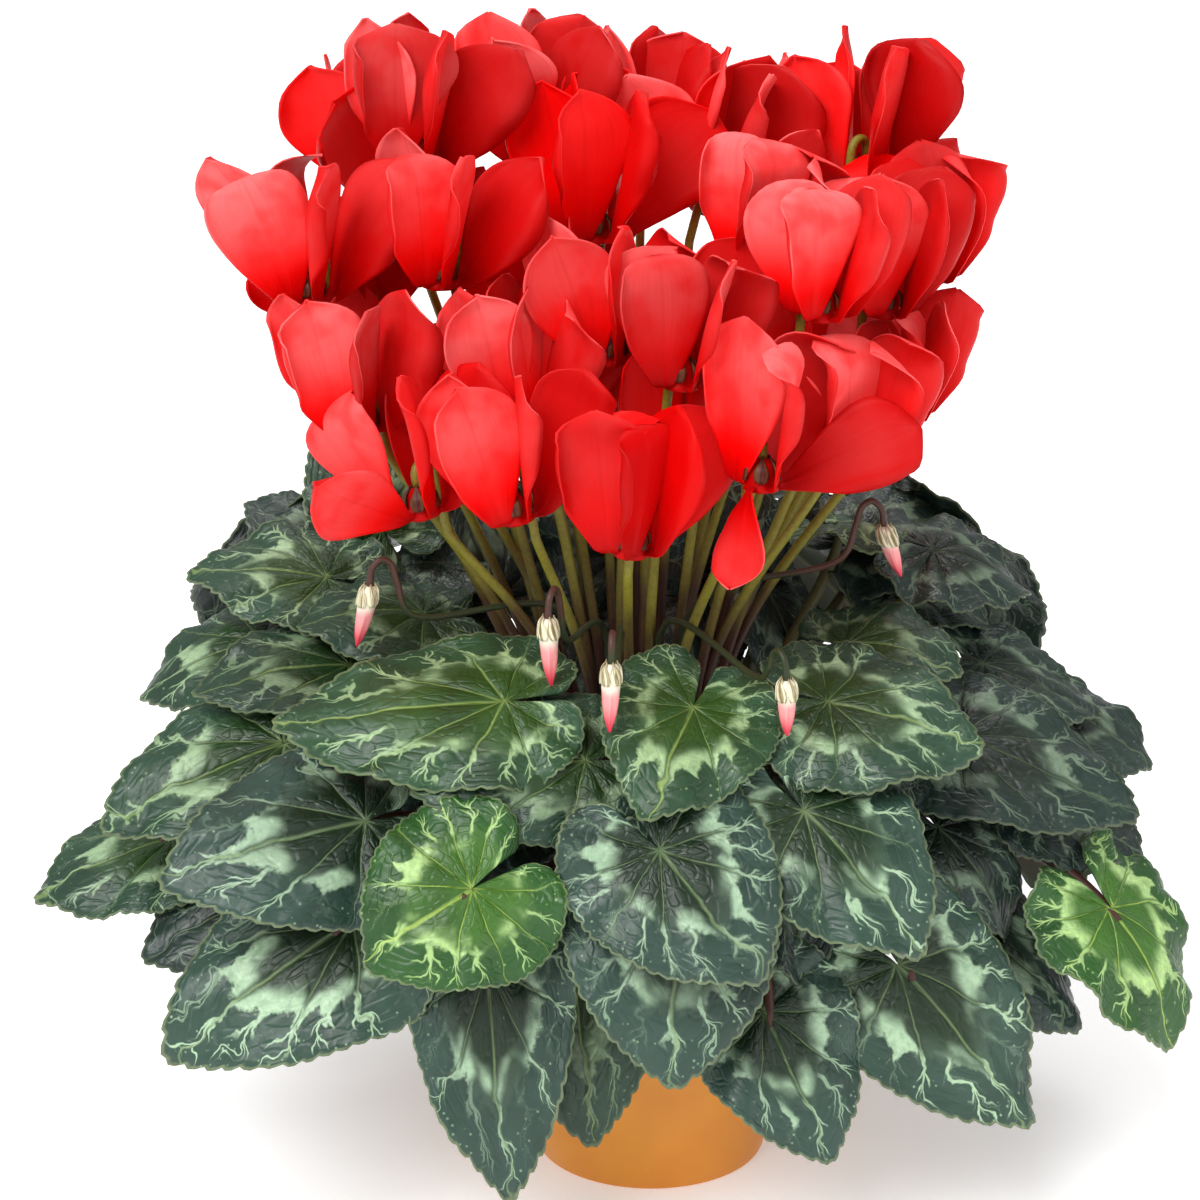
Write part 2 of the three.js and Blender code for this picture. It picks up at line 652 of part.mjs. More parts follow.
/** Whether an edge of one triangle runs through another triangle. */
function pierces(edges, target) {
  const [a, b, c] = target;
  for (let i = 0; i < 3; i += 1) {
    const from = edges[i];
    const way = edges[(i + 1) % 3].clone().sub(from);
    const span = way.length();
    const hit = new THREE.Ray(from, way.normalize()).intersectTriangle(a, b, c, false, at(0, 0, 0));
    if (hit !== null && hit.distanceTo(from) <= span) return true;
  }
  return false;
}

/** How many triangle pairs of two boxed meshes cross. */
function crossings(first, second) {
  if (!first.box.intersectsBox(second.box)) return 0;
  let count = 0;
  for (const one of first.cells) {
    if (!one.box.intersectsBox(second.box)) continue;
    for (const two of second.cells) {
      if (!one.box.intersectsBox(two.box)) continue;
      if (pierces(one.corners, two.corners) || pierces(two.corners, one.corners)) count += 1;
    }
  }
  return count;
}

/** Every way to change a petal's place, the least change first. */
function petalChanges() {
  const changes = [];
  for (const splay of SPLAY_CHANGES) {
    for (const turn of TURN_CHANGES) {
      for (const twist of TWIST_CHANGES) {
        for (const size of SIZE_CHANGES) {
          const cost = Math.abs(splay) + Math.abs(turn) + Math.abs(twist) / 2 + SIZE_COST * (1 - size);
          changes.push({ splay, turn, twist, size, cost });
        }
      }
    }
  }
  return changes.sort((a, b) => a.cost - b.cost);
}

/** Spreads, turns, twists or shortens a petal by the least change that keeps it clear of others. */
function placePetal(frame, petal, changes, others) {
  let best = null;
  for (const { splay, turn, twist, size } of changes) {
    const tried = {
      ...petal,
      splay: petal.splay + splay,
      turn: petal.turn + turn,
      twist: petal.twist + twist,
      size: petal.size * size,
    };
    const sheet = petalSheet(frame, tried);
    const larger = petalSheet(frame, tried, PETAL_MARGIN);
    const wide = boxed(thicken(larger.points, larger.faces, PETAL_THICKNESS + 2 * PETAL_MARGIN));
    const count = others.reduce((sum, other) => sum + crossings(wide, other), 0);
    if (best === null || count < best.count) best = { count, sheet };
    if (count === 0) break;
  }
  return best.sheet;
}

/** A bud hanging from its hook, with the stem that carries it. */
function budParts([x, y, z, length, dip]) {
  const away = at(x - OPENING.x, y - OPENING.y, 0).normalize();
  const gate = at(OPENING.x, OPENING.y, OPENING.z + BUD_GATE.rise).addScaledVector(away, BUD_GATE.out);
  const root = at(TUBER.x, TUBER.y, TUBER.z + ROOT_RISE).addScaledVector(away, BUD_ROOT);
  const near = (back, rise) => at(x, y, z + rise).addScaledVector(away, -back);
  const hook = BUD_HOOK.map(([back, rise]) => near(back, rise));
  const stem = [...curveThrough([root, gate, near(BUD_BEHIND, -dip), hook[0]], 5), ...hook.slice(1)];
  return [
    bar(stem, stem.map(() => STEM_RADIUS * BUD_STEM), STEM_SIDES),
    bar(BUD_RINGS.map(([share]) => near(0, -share * length)), BUD_RINGS.map(([, r]) => r), BUD_SIDES),
  ];
}

/** The outer radius of the pot's wall at a height. */
function wallRadius(z) {
  return mix(POT_BASE_RADIUS, POT_RIM_RADIUS - RIM_WIDTH, z / POT_HEIGHT);
}

/** The pot: a thin tapered wall with a thick rim, a foot ring, a flat middle boss and drain holes. */
function potBody() {
  const rimLow = POT_HEIGHT - RIM_DEPTH;
  const floor = FOOT_HEIGHT + 1;
  const bend = SOIL_TOP - SOIL_BEND;
  const profile = [
    [0, FOOT_HEIGHT / 2], [POT_BASE_RADIUS - FOOT_WIDTH - 2, FOOT_HEIGHT / 2],
    [POT_BASE_RADIUS - FOOT_WIDTH - 1, 0], [POT_BASE_RADIUS - 1, 0], [POT_BASE_RADIUS, 1.5],
    [wallRadius(rimLow), rimLow], [POT_RIM_RADIUS - 1, rimLow + 1], [POT_RIM_RADIUS, POT_HEIGHT - 1],
    [POT_RIM_RADIUS - 1, POT_HEIGHT], [POT_RIM_RADIUS - RIM_WIDTH, POT_HEIGHT],
    [wallRadius(bend) - POT_WALL, bend], [wallRadius(floor) - POT_WALL, floor], [0, floor],
  ];
  const boss = bar([at(0, 0, 0), at(0, 0, FOOT_HEIGHT)], [BOSS_RADIUS, BOSS_RADIUS], BOSS_SIDES);
  let body = solid(turned(profile, POT_SIDES)).add(solid(boss));
  for (let k = 0; k < DRAIN_COUNT; k += 1) {
    const turn = (2 * Math.PI * k) / DRAIN_COUNT;
    const [x, y] = [DRAIN_RING * Math.cos(turn), DRAIN_RING * Math.sin(turn)];
    const ends = [at(x, y, -FOOT_HEIGHT), at(x, y, 2 * floor)];
    body = body.subtract(solid(bar(ends, [DRAIN_RADIUS, DRAIN_RADIUS], DRAIN_SIDES)));
  }
  return body;
}

/** The tuber's profile, larger all round by a margin. */
function tuberShape(margin) {
  const { radius, height } = TUBER;
  const rings = TUBER_RINGS.map((angle) => (
    [(radius + margin) * Math.cos(angle * RADIANS), (height + margin) * Math.sin(angle * RADIANS)]
  ));
  return turned(rings, TUBER_SIDES, at(TUBER.x, TUBER.y, TUBER.z));
}

/** The soil: it fills the pot below its rim, with a hollow for the tuber and a hole for each foot. */
function soilBody(sprays) {
  const floor = FOOT_HEIGHT + 1 + GAP;
  const bend = SOIL_TOP - SOIL_BEND;
  const inner = (z) => wallRadius(z) - POT_WALL - 2 * GAP;
  const profile = [
    [0, floor], [inner(floor), floor], [inner(bend), bend], [inner(bend) + 1, SOIL_TOP - 2],
    [inner(bend) - 1.5, SOIL_TOP - 0.5], [POT_BASE_RADIUS + 4, SOIL_TOP], [0, SOIL_TOP + 0.5],
  ];
  let body = solid(turned(profile, POT_SIDES)).subtract(solid(tuberShape(GAP)));
  for (const { foot } of sprays) {
    const ends = [foot.clone().setZ(SOIL_TOP - FOOT_DEPTH - GAP), foot.clone().setZ(POT_HEIGHT)];
    const size = FOOT_RADIUS + GAP / Math.cos(Math.PI / FOOT_SIDES);
    body = body.subtract(solid(bar(ends, [size, size], FOOT_SIDES)));
  }
  return body;
}

/** A spray: a foot in the soil, with the stalk and blade of each of its leaves. */
function sprayBody(spray) {
  const low = spray.foot.clone().setZ(SOIL_TOP - FOOT_DEPTH);
  const top = spray.foot.clone().setZ(FOOT_TOP);
  const parts = [bar([low, top], [FOOT_RADIUS, FOOT_RADIUS * 0.9], FOOT_SIDES)];
  for (const leaf of spray.leaves) {
    const radii = leaf.path.map((_, i) => (i === PETIOLE_STEPS ? PETIOLE_END : 1) * PETIOLE_RADIUS);
    parts.push(bar(leaf.path, radii, PETIOLE_SIDES));
    parts.push(thicken(leaf.sheet.points, leaf.sheet.faces, BLADE_THICKNESS));
  }
  return fuse(parts);
}

/** Every leaf laid in its layer, and the sprays that they grow in. */
function growLeaves(others) {
  const leaves = listLeaves();
  for (const leaf of leaves) leaf.sheet = bladeSheet(leaf);
  const sprays = listSprays(leaves);
  const laid = [];
  const placed = [...others];
  for (const leaf of leaves) {
    const { foot } = sprays.find((spray) => spray.leaves.includes(leaf));
    const below = laid.flatMap(({ points, faces }) => conesOf(leaf.heart, points, faces));
    bendClear(leaf.heart, leaf.sheet, below);
    leaf.path = placeStalk(leaf, foot.clone().setZ(FOOT_TOP - FOOT_GRIP), placed);
    const piece = (path) => bar(path, path.map(() => PETIOLE_RADIUS), PETIOLE_SIDES);
    const { points, triangles } = piece(leaf.path.slice(0, -1));
    laid.push(leaf.sheet, { points, faces: triangles });
    placed.push(boxed({ points: leaf.sheet.points, triangles: leaf.sheet.faces }));
    placed.push(boxed(piece(leaf.path.slice(1, -1))));
  }
  return sprays;
}

/** Every bloom with its petals moved clear of other blooms, stems and buds. */
function growBlooms() {
  const frames = BLOOMS.map(bloomFrame);
  const stems = frames.map((frame) => {
    const path = stemPath(frame);
    return bar(path, path.map(() => STEM_RADIUS), STEM_SIDES);
  });
  const buds = BUDS.flatMap(budParts);
  const tubes = frames.map(corolla);
  const placed = [...stems, ...buds].map(boxed);
  const boxedTubes = tubes.map(boxed);
  const changes = petalChanges();
  const petals = [];
  frames.forEach((frame, i) => {
    const others = [...placed, ...boxedTubes.filter((_, k) => k !== i)];
    petals[i] = listPetals(frame).map((petal) => placePetal(frame, petal, changes, others));
    placed.push(...petals[i].map(({ points, faces }) => boxed({ points, triangles: faces })));
  });
  return { stems, buds, tubes, petals };
}

const plant = new THREE.Group();
plant.name = "potted_cyclamen";

const blooms = growBlooms();
const rimWall = turned(
  [[0, 0], [POT_BASE_RADIUS, 0], [POT_RIM_RADIUS, POT_HEIGHT], [0, POT_HEIGHT]],
  POT_SIDES,
);
const sprays = growLeaves([...blooms.stems, ...blooms.buds, rimWall].map(boxed));

plant.add(node("pot", potBody()));
plant.add(node("soil", soilBody(sprays)));
plant.add(node("crown", fuse([tuberShape(0), ...blooms.stems, ...blooms.buds])));
blooms.tubes.forEach((tube, i) => {
  const petals = blooms.petals[i].map(({ points, faces }) => thicken(points, faces, PETAL_THICKNESS));
  plant.add(node(`bloom_${twoDigits(i + 1)}`, fuse([tube, ...petals])));
});
sprays.forEach((spray, i) => plant.add(node(`leaves_${twoDigits(i + 1)}`, sprayBody(spray))));

export default plant;
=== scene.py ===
"""The looks of a potted cyclamen in full bloom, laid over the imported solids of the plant.

Sizes are millimetres and angles are degrees, as in the part's own source, and the same rules place
every leaf, petal, stem and bud. Each mesh is written in metres, with the plant's front towards -Y.
"""
import logging
import math
from collections.abc import Callable, Iterable, Iterator
from contextlib import contextmanager
from dataclasses import dataclass, field, replace
from enum import Enum
from itertools import product

import bpy
import numpy as np
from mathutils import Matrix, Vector


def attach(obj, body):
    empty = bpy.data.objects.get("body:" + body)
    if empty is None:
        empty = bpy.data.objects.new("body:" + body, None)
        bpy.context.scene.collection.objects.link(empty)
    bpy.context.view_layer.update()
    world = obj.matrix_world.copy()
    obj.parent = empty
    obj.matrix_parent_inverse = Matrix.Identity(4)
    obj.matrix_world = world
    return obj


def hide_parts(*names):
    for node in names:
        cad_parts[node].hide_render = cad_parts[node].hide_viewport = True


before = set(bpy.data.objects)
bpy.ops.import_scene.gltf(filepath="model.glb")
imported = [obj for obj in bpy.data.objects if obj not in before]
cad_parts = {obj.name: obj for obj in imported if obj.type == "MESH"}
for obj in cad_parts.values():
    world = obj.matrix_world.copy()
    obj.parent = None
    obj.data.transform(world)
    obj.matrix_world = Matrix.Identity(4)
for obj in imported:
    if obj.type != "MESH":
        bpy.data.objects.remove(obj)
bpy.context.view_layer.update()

MM = 0.001
DEGREE = math.pi / 180.0
UP = np.array([0.0, 0.0, 1.0])
LEVEL = np.array([1.0, 1.0, 0.0])
# How far a blade spreads to each side of its tip, and the turn from one main vein to the next
BLADE_TURN = 172.0
VEIN_STEP = 36.0
Array = np.ndarray
Colour = tuple[float, float, float, float]
Place = tuple[float, float, float]
log = logging.getLogger("cyclamen")


class Slot(Enum):
    """The record's material slots."""

    POT = "pot"
    SOIL = "soil"
    STEM = "stem"
    PETAL = "petal"
    LEAF = "leaf"


class Tone(Enum):
    """How a blade is coloured: its youth, its share of silver and its depth of painted shade, for blades that
    lie in shade.
    """

    YOUNG = (1.0, 0.95, 0.0)
    FRESH = (0.55, 0.9, 0.1)
    GREEN = (0.3, 0.9, 0.2)
    GREY = (0.0, 0.9, 0.05)
    SILVER = (0.05, 1.15, 0.0)
    OLIVE = (0.35, 0.6, 0.42)
    DARK = (0.0, 0.75, 0.66)


def chance(key: float) -> float:
    """Gives a repeatable fraction from 0 to 1 for a whole number."""
    value = math.sin(key * 12.9898 + 4.1414) * 43758.5453
    return value - math.floor(value)


def unit(vector: Array) -> Array:
    """Scales vectors to a length of one."""
    return vector / np.maximum(np.linalg.norm(vector, axis=-1, keepdims=True), 1e-9)


def smoothstep(low: float, high: float, value: Array) -> Array:
    """Rises smoothly from 0 at one value to 1 at another."""
    share = np.clip((value - low) / (high - low), 0.0, 1.0)
    return share * share * (3.0 - 2.0 * share)


def columns(table: Iterable[Iterable[float]]) -> list[Array]:
    """Turns the rows of a table into one array for each column."""
    return [np.array(column, float) for column in zip(*table)]


def smooth_knots(value: Array, knots: Array, heights: Array) -> Array:
    """Runs a smooth curve through knots that are given in rising order.

    Args:
        value: The places to read the curve at.
        knots: The places of the knots.
        heights: The curve's value at each knot.

    Returns:
        The curve's value at each place.
    """
    slopes = np.gradient(heights, knots)
    at = np.clip(np.searchsorted(knots, value) - 1, 0, len(knots) - 2)
    span = knots[at + 1] - knots[at]
    t = np.clip((value - knots[at]) / span, 0.0, 1.0)
    first = (2 * t ** 3 - 3 * t ** 2 + 1) * heights[at] + (t ** 3 - 2 * t ** 2 + t) * span * slopes[at]
    second = (3 * t ** 2 - 2 * t ** 3) * heights[at + 1] + (t ** 3 - t ** 2) * span * slopes[at + 1]
    return first + second


def curve_through(places: list[Array], steps: int) -> Array:
    """Samples a centripetal curve through a few places.

    Args:
        places: The places that the curve passes.
        steps: The number of stretches to divide it into.

    Returns:
        The points along the curve, one more than the stretches.
    """
    spots = [2 * places[0] - places[1], *places, 2 * places[-1] - places[-2]]
    points = []
    for i in range(steps + 1):
        run = (len(places) - 1) * i / steps
        first = min(int(run), len(places) - 2)
        t = run - first
        p0, p1, p2, p3 = spots[first:first + 4]
        d0, d1, d2 = (math.sqrt(np.linalg.norm(b - a)) for a, b in ((p0, p1), (p1, p2), (p2, p3)))
        t1 = ((p1 - p0) / d0 - (p2 - p0) / (d0 + d1) + (p2 - p1) / d1) * d1
        t2 = ((p2 - p1) / d1 - (p3 - p1) / (d1 + d2) + (p3 - p2) / d2) * d1
        points.append(p1 + t1 * t + (3 * (p2 - p1) - 2 * t1 - t2) * t ** 2
                      + (2 * (p1 - p2) + t1 + t2) * t ** 3)
    return np.array(points)


def bezier(corners: list[Array], steps: int) -> Array:
    """Samples a cubic curve from its two ends and the two handles between them."""
    t = np.linspace(0.0, 1.0, steps + 1)[:, None]
    a, b, c, d = corners
    return (1 - t) ** 3 * a + 3 * (1 - t) ** 2 * t * b + 3 * (1 - t) * t ** 2 * c + t ** 3 * d


def node_corners(name: str) -> Array:
    """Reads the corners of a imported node, in millimetres."""
    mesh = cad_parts[name].data
    flat = np.empty(len(mesh.vertices) * 3, np.float32)
    mesh.vertices.foreach_get("co", flat)
    return np.unique((flat.reshape(-1, 3) / MM).round(4), axis=0).astype(float)


def nearest_gap(points: Array, corners: Array) -> Array:
    """Gives each point's distance to the nearest of some corners."""
    square = (points ** 2).sum(-1)[..., None] + (corners ** 2).sum(-1) - 2 * points @ corners.T
    return np.sqrt(np.maximum(square.min(-1), 0.0))


class Bench:
    """The common steps of modelling: picking pieces, shaping sheets and tubes, joining and finishing."""

    @staticmethod
    def pick(*pieces: bpy.types.Object) -> None:
        """Selects these pieces alone and makes the first of them active."""
        bpy.ops.object.select_all(action="DESELECT")
        for piece in pieces:
            piece.select_set(True)
        bpy.context.view_layer.objects.active = pieces[0]

    @classmethod
    @contextmanager
    def editing(cls, piece: bpy.types.Object) -> Iterator[None]:
        """Keeps a piece in edit mode for a while, with all of it selected at first."""
        cls.pick(piece)
        bpy.ops.object.mode_set(mode="EDIT")
        bpy.ops.mesh.select_all(action="SELECT")
        yield
        bpy.ops.object.mode_set(mode="OBJECT")

    @staticmethod
    def named(piece: bpy.types.Object, name: str) -> bpy.types.Object:
        """Names a piece and its mesh."""
        piece.name = name
        piece.data.name = name
        return piece

    @classmethod
    def start(cls, name: str, primitive: Callable, **settings: object) -> bpy.types.Object:
        """Adds a primitive with nothing else selected, and names it."""
        bpy.ops.object.select_all(action="DESELECT")
        primitive(**settings)
        return cls.named(bpy.context.object, name)

    @staticmethod
    def stand(name: str, data: bpy.types.ID) -> bpy.types.Object:
        """Stands a mesh, curve, light or camera in the scene."""
        thing = bpy.data.objects.new(name, data)
        bpy.context.scene.collection.objects.link(thing)
        return thing

    @staticmethod
    def coordinates(piece: bpy.types.Object) -> Array:
        """Reads a piece's points as they are in its mesh."""
        flat = np.empty(len(piece.data.vertices) * 3, np.float32)
        piece.data.vertices.foreach_get("co", flat)
        return flat.reshape(-1, 3).astype(float)

    @staticmethod
    def shape(piece: bpy.types.Object, points: Array) -> None:
        """Moves a piece's points to places in millimetres."""
        piece.data.vertices.foreach_set("co", (points * MM).astype(np.float32).ravel())
        piece.data.update()

    @classmethod
    def sheet(cls, name: str, across: int, along: int) -> tuple[bpy.types.Object, Array, Array]:
        """Adds a flat sheet of squares, ready to be shaped.

        Args:
            name: The name of the piece.
            across: The number of squares across it.
            along: The number of squares along it.

        Returns:
            The piece, and the share across and the share along of each of its points.
        """
        grid = bpy.ops.mesh.primitive_grid_add
        piece = cls.start(name, grid, x_subdivisions=across, y_subdivisions=along, size=1.0)
        flat = cls.coordinates(piece)
        return piece, flat[:, 0] + 0.5, flat[:, 1] + 0.5

    @classmethod
    def weld(cls, piece: bpy.types.Object, distance: float = 0.02) -> None:
        """Merges the points of a piece that lie on each other."""
        with cls.editing(piece):
            bpy.ops.mesh.remove_doubles(threshold=distance * MM)

    @classmethod
    def close(cls, piece: bpy.types.Object) -> None:
        """Closes a sheet that was rolled up, and turns its faces outwards."""
        cls.weld(piece)
        with cls.editing(piece):
            bpy.ops.mesh.normals_make_consistent(inside=False)

    @classmethod
    def modify(cls, piece: bpy.types.Object, kind: str, **settings: object) -> None:
        """Adds a modifier with its settings and applies it."""
        cls.pick(piece)
        modifier = piece.modifiers.new(kind.lower(), kind)
        for name, value in settings.items():
            setattr(modifier, name, value)
        bpy.ops.object.modifier_apply(modifier=modifier.name)

    @classmethod
    def thicken(cls, piece: bpy.types.Object, thickness: float, under: int = 0) -> None:
        """Gives a sheet its thickness, half to each side.

        Args:
            piece: The sheet.
            thickness: The thickness in millimetres.
            under: How many material slots further on the sheet's underside has its finish.
        """
        cls.modify(piece, "SOLIDIFY", thickness=thickness * MM, offset=0.0, material_offset=under)

    @classmethod
    def soften(cls, piece: bpy.types.Object, angle: float = 180.0) -> None:
        """Shades a piece smooth, apart from edges sharper than an angle."""
        cls.pick(piece)
        bpy.ops.object.shade_smooth_by_angle(angle=angle * DEGREE)

    @classmethod
    def join(cls, name: str, pieces: list[bpy.types.Object]) -> bpy.types.Object:
        """Joins pieces into one and names it."""
        cls.pick(*pieces)
        if len(pieces) > 1:
            bpy.ops.object.join()
        return cls.named(bpy.context.view_layer.objects.active, name)

    @classmethod
    def tube(cls, name: str, path: Array, radii: Array | float, sides: int,
             material: bpy.types.Material) -> bpy.types.Object:
        """Draws a round stem along a path and makes it a closed mesh.

        Args:
            name: The name of the piece.
            path: The points of its middle line.
            radii: Its radius at each point, or all along it.
            sides: The number of sides round it.
            material: Its finish.

        Returns:
            The stem.
        """
        curve = bpy.data.curves.new(name, "CURVE")
        curve.dimensions = "3D"
        curve.bevel_depth = MM
        curve.bevel_resolution = sides // 2 - 2
        curve.use_fill_caps = True
        spline = curve.splines.new("POLY")
        spline.points.add(len(path) - 1)
        spline.points.foreach_set("co", np.column_stack([path * MM, np.ones(len(path))]).ravel())
        spline.points.foreach_set("radius", np.broadcast_to(radii, len(path)).astype(float))
        cls.pick(cls.stand(name, curve))
        bpy.ops.object.convert(target="MESH")
        piece = bpy.context.object
        cls.weld(piece, 0.001)
        bpy.ops.object.shade_smooth()
        cls.dress(piece, material)
        return piece

    @classmethod
    def turned(cls, name: str, profile: list[tuple[float, float]], steps: int) -> bpy.types.Object:
        """Spins a profile about the vertical axis into a closed piece.

        Args:
            name: The name of the piece.
            profile: The radius and height of each point, starting and ending on the axis.
            steps: The number of steps round the axis.

        Returns:
            The turned piece.
        """
        mesh = bpy.data.meshes.new(name)
        points = [(radius * MM, 0.0, height * MM) for radius, height in profile]
        mesh.from_pydata(points, [(i, i + 1) for i in range(len(points) - 1)], [])
        piece = cls.stand(name, mesh)
        with cls.editing(piece):
            bpy.ops.mesh.spin(steps=steps, angle=2 * math.pi, center=(0, 0, 0), axis=(0, 0, 1))
        cls.close(piece)
        return piece

    @staticmethod
    def dress(piece: bpy.types.Object, *materials: bpy.types.Material) -> None:
        """Gives a piece these materials and no others."""
        piece.data.materials.clear()
        for material in materials:
            piece.data.materials.append(material)

    @staticmethod
    def paint(piece: bpy.types.Object, name: str, values: Iterable[float]) -> None:
        """Writes one colour for all of a piece into a named attribute."""
        table = np.ones((len(piece.data.vertices), 4), np.float32)
        table[:, :3] = values
        layer = piece.data.color_attributes.new(name, "FLOAT_COLOR", "POINT")
        layer.data.foreach_set("color", table.ravel())

    @staticmethod
    def finish(piece: bpy.types.Object, slot: Slot, *replaced: str) -> None:
        """Makes a piece ride on the plant, hides the imported nodes that it stands for, and logs its faces.
        """
        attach(piece, "root")
        if replaced:
            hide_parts(*replaced)
        log.info("%s: %d faces for %s", piece.name, len(piece.data.polygons), replaced or "no node")


class Wire:
    """A value that runs between a material's nodes, with the usual signs for sums on it."""

    def __init__(self, shader: "Shader", socket: bpy.types.NodeSocket) -> None:
        """Keeps the socket that gives the value, and the material that it is in."""
        self.shader = shader
        self.socket = socket

    def math(self, operation: str, second: "Wire | float" = 0.0, third: "Wire | float" = 0.0) -> "Wire":
        """Adds a Math node on this value."""
        return self.shader.node("ShaderNodeMath", {0: self, 1: second, 2: third}, operation=operation)

    def __add__(self, other: "Wire | float") -> "Wire":
        """Adds another value."""
        return self.math("ADD", other)

    def __sub__(self, other: "Wire | float") -> "Wire":
        """Takes another value away."""
        return self.math("SUBTRACT", other)

    def __mul__(self, other: "Wire | float") -> "Wire":
        """Multiplies by another value."""
        return self.math("MULTIPLY", other)

    def __truediv__(self, other: "Wire | float") -> "Wire":
        """Divides by another value."""
        return self.math("DIVIDE", other)

    def __abs__(self) -> "Wire":
        """Drops the sign."""
        return self.math("ABSOLUTE")

    def scaled(self, factor: "Wire | float", offset: "Wire | float") -> "Wire":
        """Multiplies by a factor and adds an offset."""
        return self.math("MULTIPLY_ADD", factor, offset)

    def most(self, other: "Wire") -> "Wire":
        """Gives the greater of two values."""
        return self.math("MAXIMUM", other)

    def folded(self) -> "Wire":
        """Gives the distance to the nearest whole number."""
        return self.math("PINGPONG", 0.5)

    def rise(self, low: float, high: float, start: float = 0.0, end: float = 1.0) -> "Wire":
        """Runs smoothly from one value to another while this one goes from low to high."""
        inputs = {"Value": self, "From Min": low, "From Max": high, "To Min": start, "To Max": end}
        return self.shader.node("ShaderNodeMapRange", inputs, "Result", interpolation_type="SMOOTHSTEP")

    def parts(self, kind: str = "ShaderNodeSeparateXYZ") -> list["Wire"]:
        """Splits a vector or a colour into its three parts."""
        first = self.shader.node(kind, {0: self})
        return [Wire(self.shader, socket) for socket in first.socket.node.outputs]


class Shader:
    """A material's node tree, with short calls for the nodes that the finishes share."""

    def __init__(self, name: str) -> None:
        """Starts a material with a plain shader and its output."""
        self.material = bpy.data.materials.new(name)
        self.material.use_nodes = True
        self.tree = self.material.node_tree
        self.surface = self.tree.nodes["Principled BSDF"]

    def node(self, kind: str, inputs: dict | None = None, output: str | int = 0, **settings: object) -> Wire:
        """Adds a node.

        Args:
            kind: The node's type.
            inputs: Values or wires for its inputs, by name or number.
            output: The name or number of the output to use.
            settings: Values for its own properties.

        Returns:
            A wire from its output.
        """
        made = self.tree.nodes.new(kind)
        for name, value in settings.items():
            setattr(made, name, value)
        for name, value in (inputs or {}).items():
            self.feed(made.inputs[name], value)
        return Wire(self, made.outputs[output])

    def feed(self, socket: bpy.types.NodeSocket, value: object) -> None:
        """Links a wire to a socket, or sets the socket's value."""
        if isinstance(value, Wire):
            self.tree.links.new(value.socket, socket)
        else:
            socket.default_value = value

    def mix(self, share: Wire, first: Wire | Colour, second: Wire | Colour) -> Wire:
        """Mixes two colours."""
        return self.node("ShaderNodeMix", {0: share, 6: first, 7: second}, 2, data_type="RGBA")

    def place(self) -> Wire:
        """Gives the Object coordinates."""
        return self.node("ShaderNodeTexCoord", output="Object")

    def vector(self, x: Wire, y: Wire, z: Wire | float = 0.0) -> Wire:
        """Makes a vector of three values."""
        return self.node("ShaderNodeCombineXYZ", {0: x, 1: y, 2: z})

    def noise(self, scale: float, detail: float = 2.0, roughness: float = 0.5,
              vector: Wire | None = None) -> Wire:
        """Adds a noise on the Object coordinates, or on a vector, and gives its value."""
        inputs = {"Vector": vector or self.place(), "Scale": scale, "Detail": detail, "Roughness": roughness}
        return self.node("ShaderNodeTexNoise", inputs, "Fac")

    def across_along(self) -> list[Wire]:
        """Gives the two shares of the piece's own UV map."""
        return self.node("ShaderNodeUVMap", uv_map="UVMap").parts()[:2]

    def attribute(self, name: str) -> list[Wire]:
        """Gives the three channels of a painted attribute."""
        colour = self.node("ShaderNodeAttribute", output="Color", attribute_name=name)
        return colour.parts("ShaderNodeSeparateColor")

    def bump(self, height: Wire, strength: float, distance: float) -> None:
        """Feeds a height to the surface's normal."""
        inputs = {"Height": height, "Strength": strength, "Distance": distance * MM}
        self.set(Normal=self.node("ShaderNodeBump", inputs))

    def set(self, **values: object) -> None:
        """Sets or links inputs of the surface, named with underscores for spaces."""
        for name, value in values.items():
            self.feed(self.surface.inputs[name.replace("_", " ")], value)


def rgb(red: float, green: float, blue: float) -> Colour:
    """Turns a colour as seen, from 0 to 255, into linear light."""
    return tuple((channel / 255.0) ** 2.2 for channel in (red, green, blue)) + (1.0,)


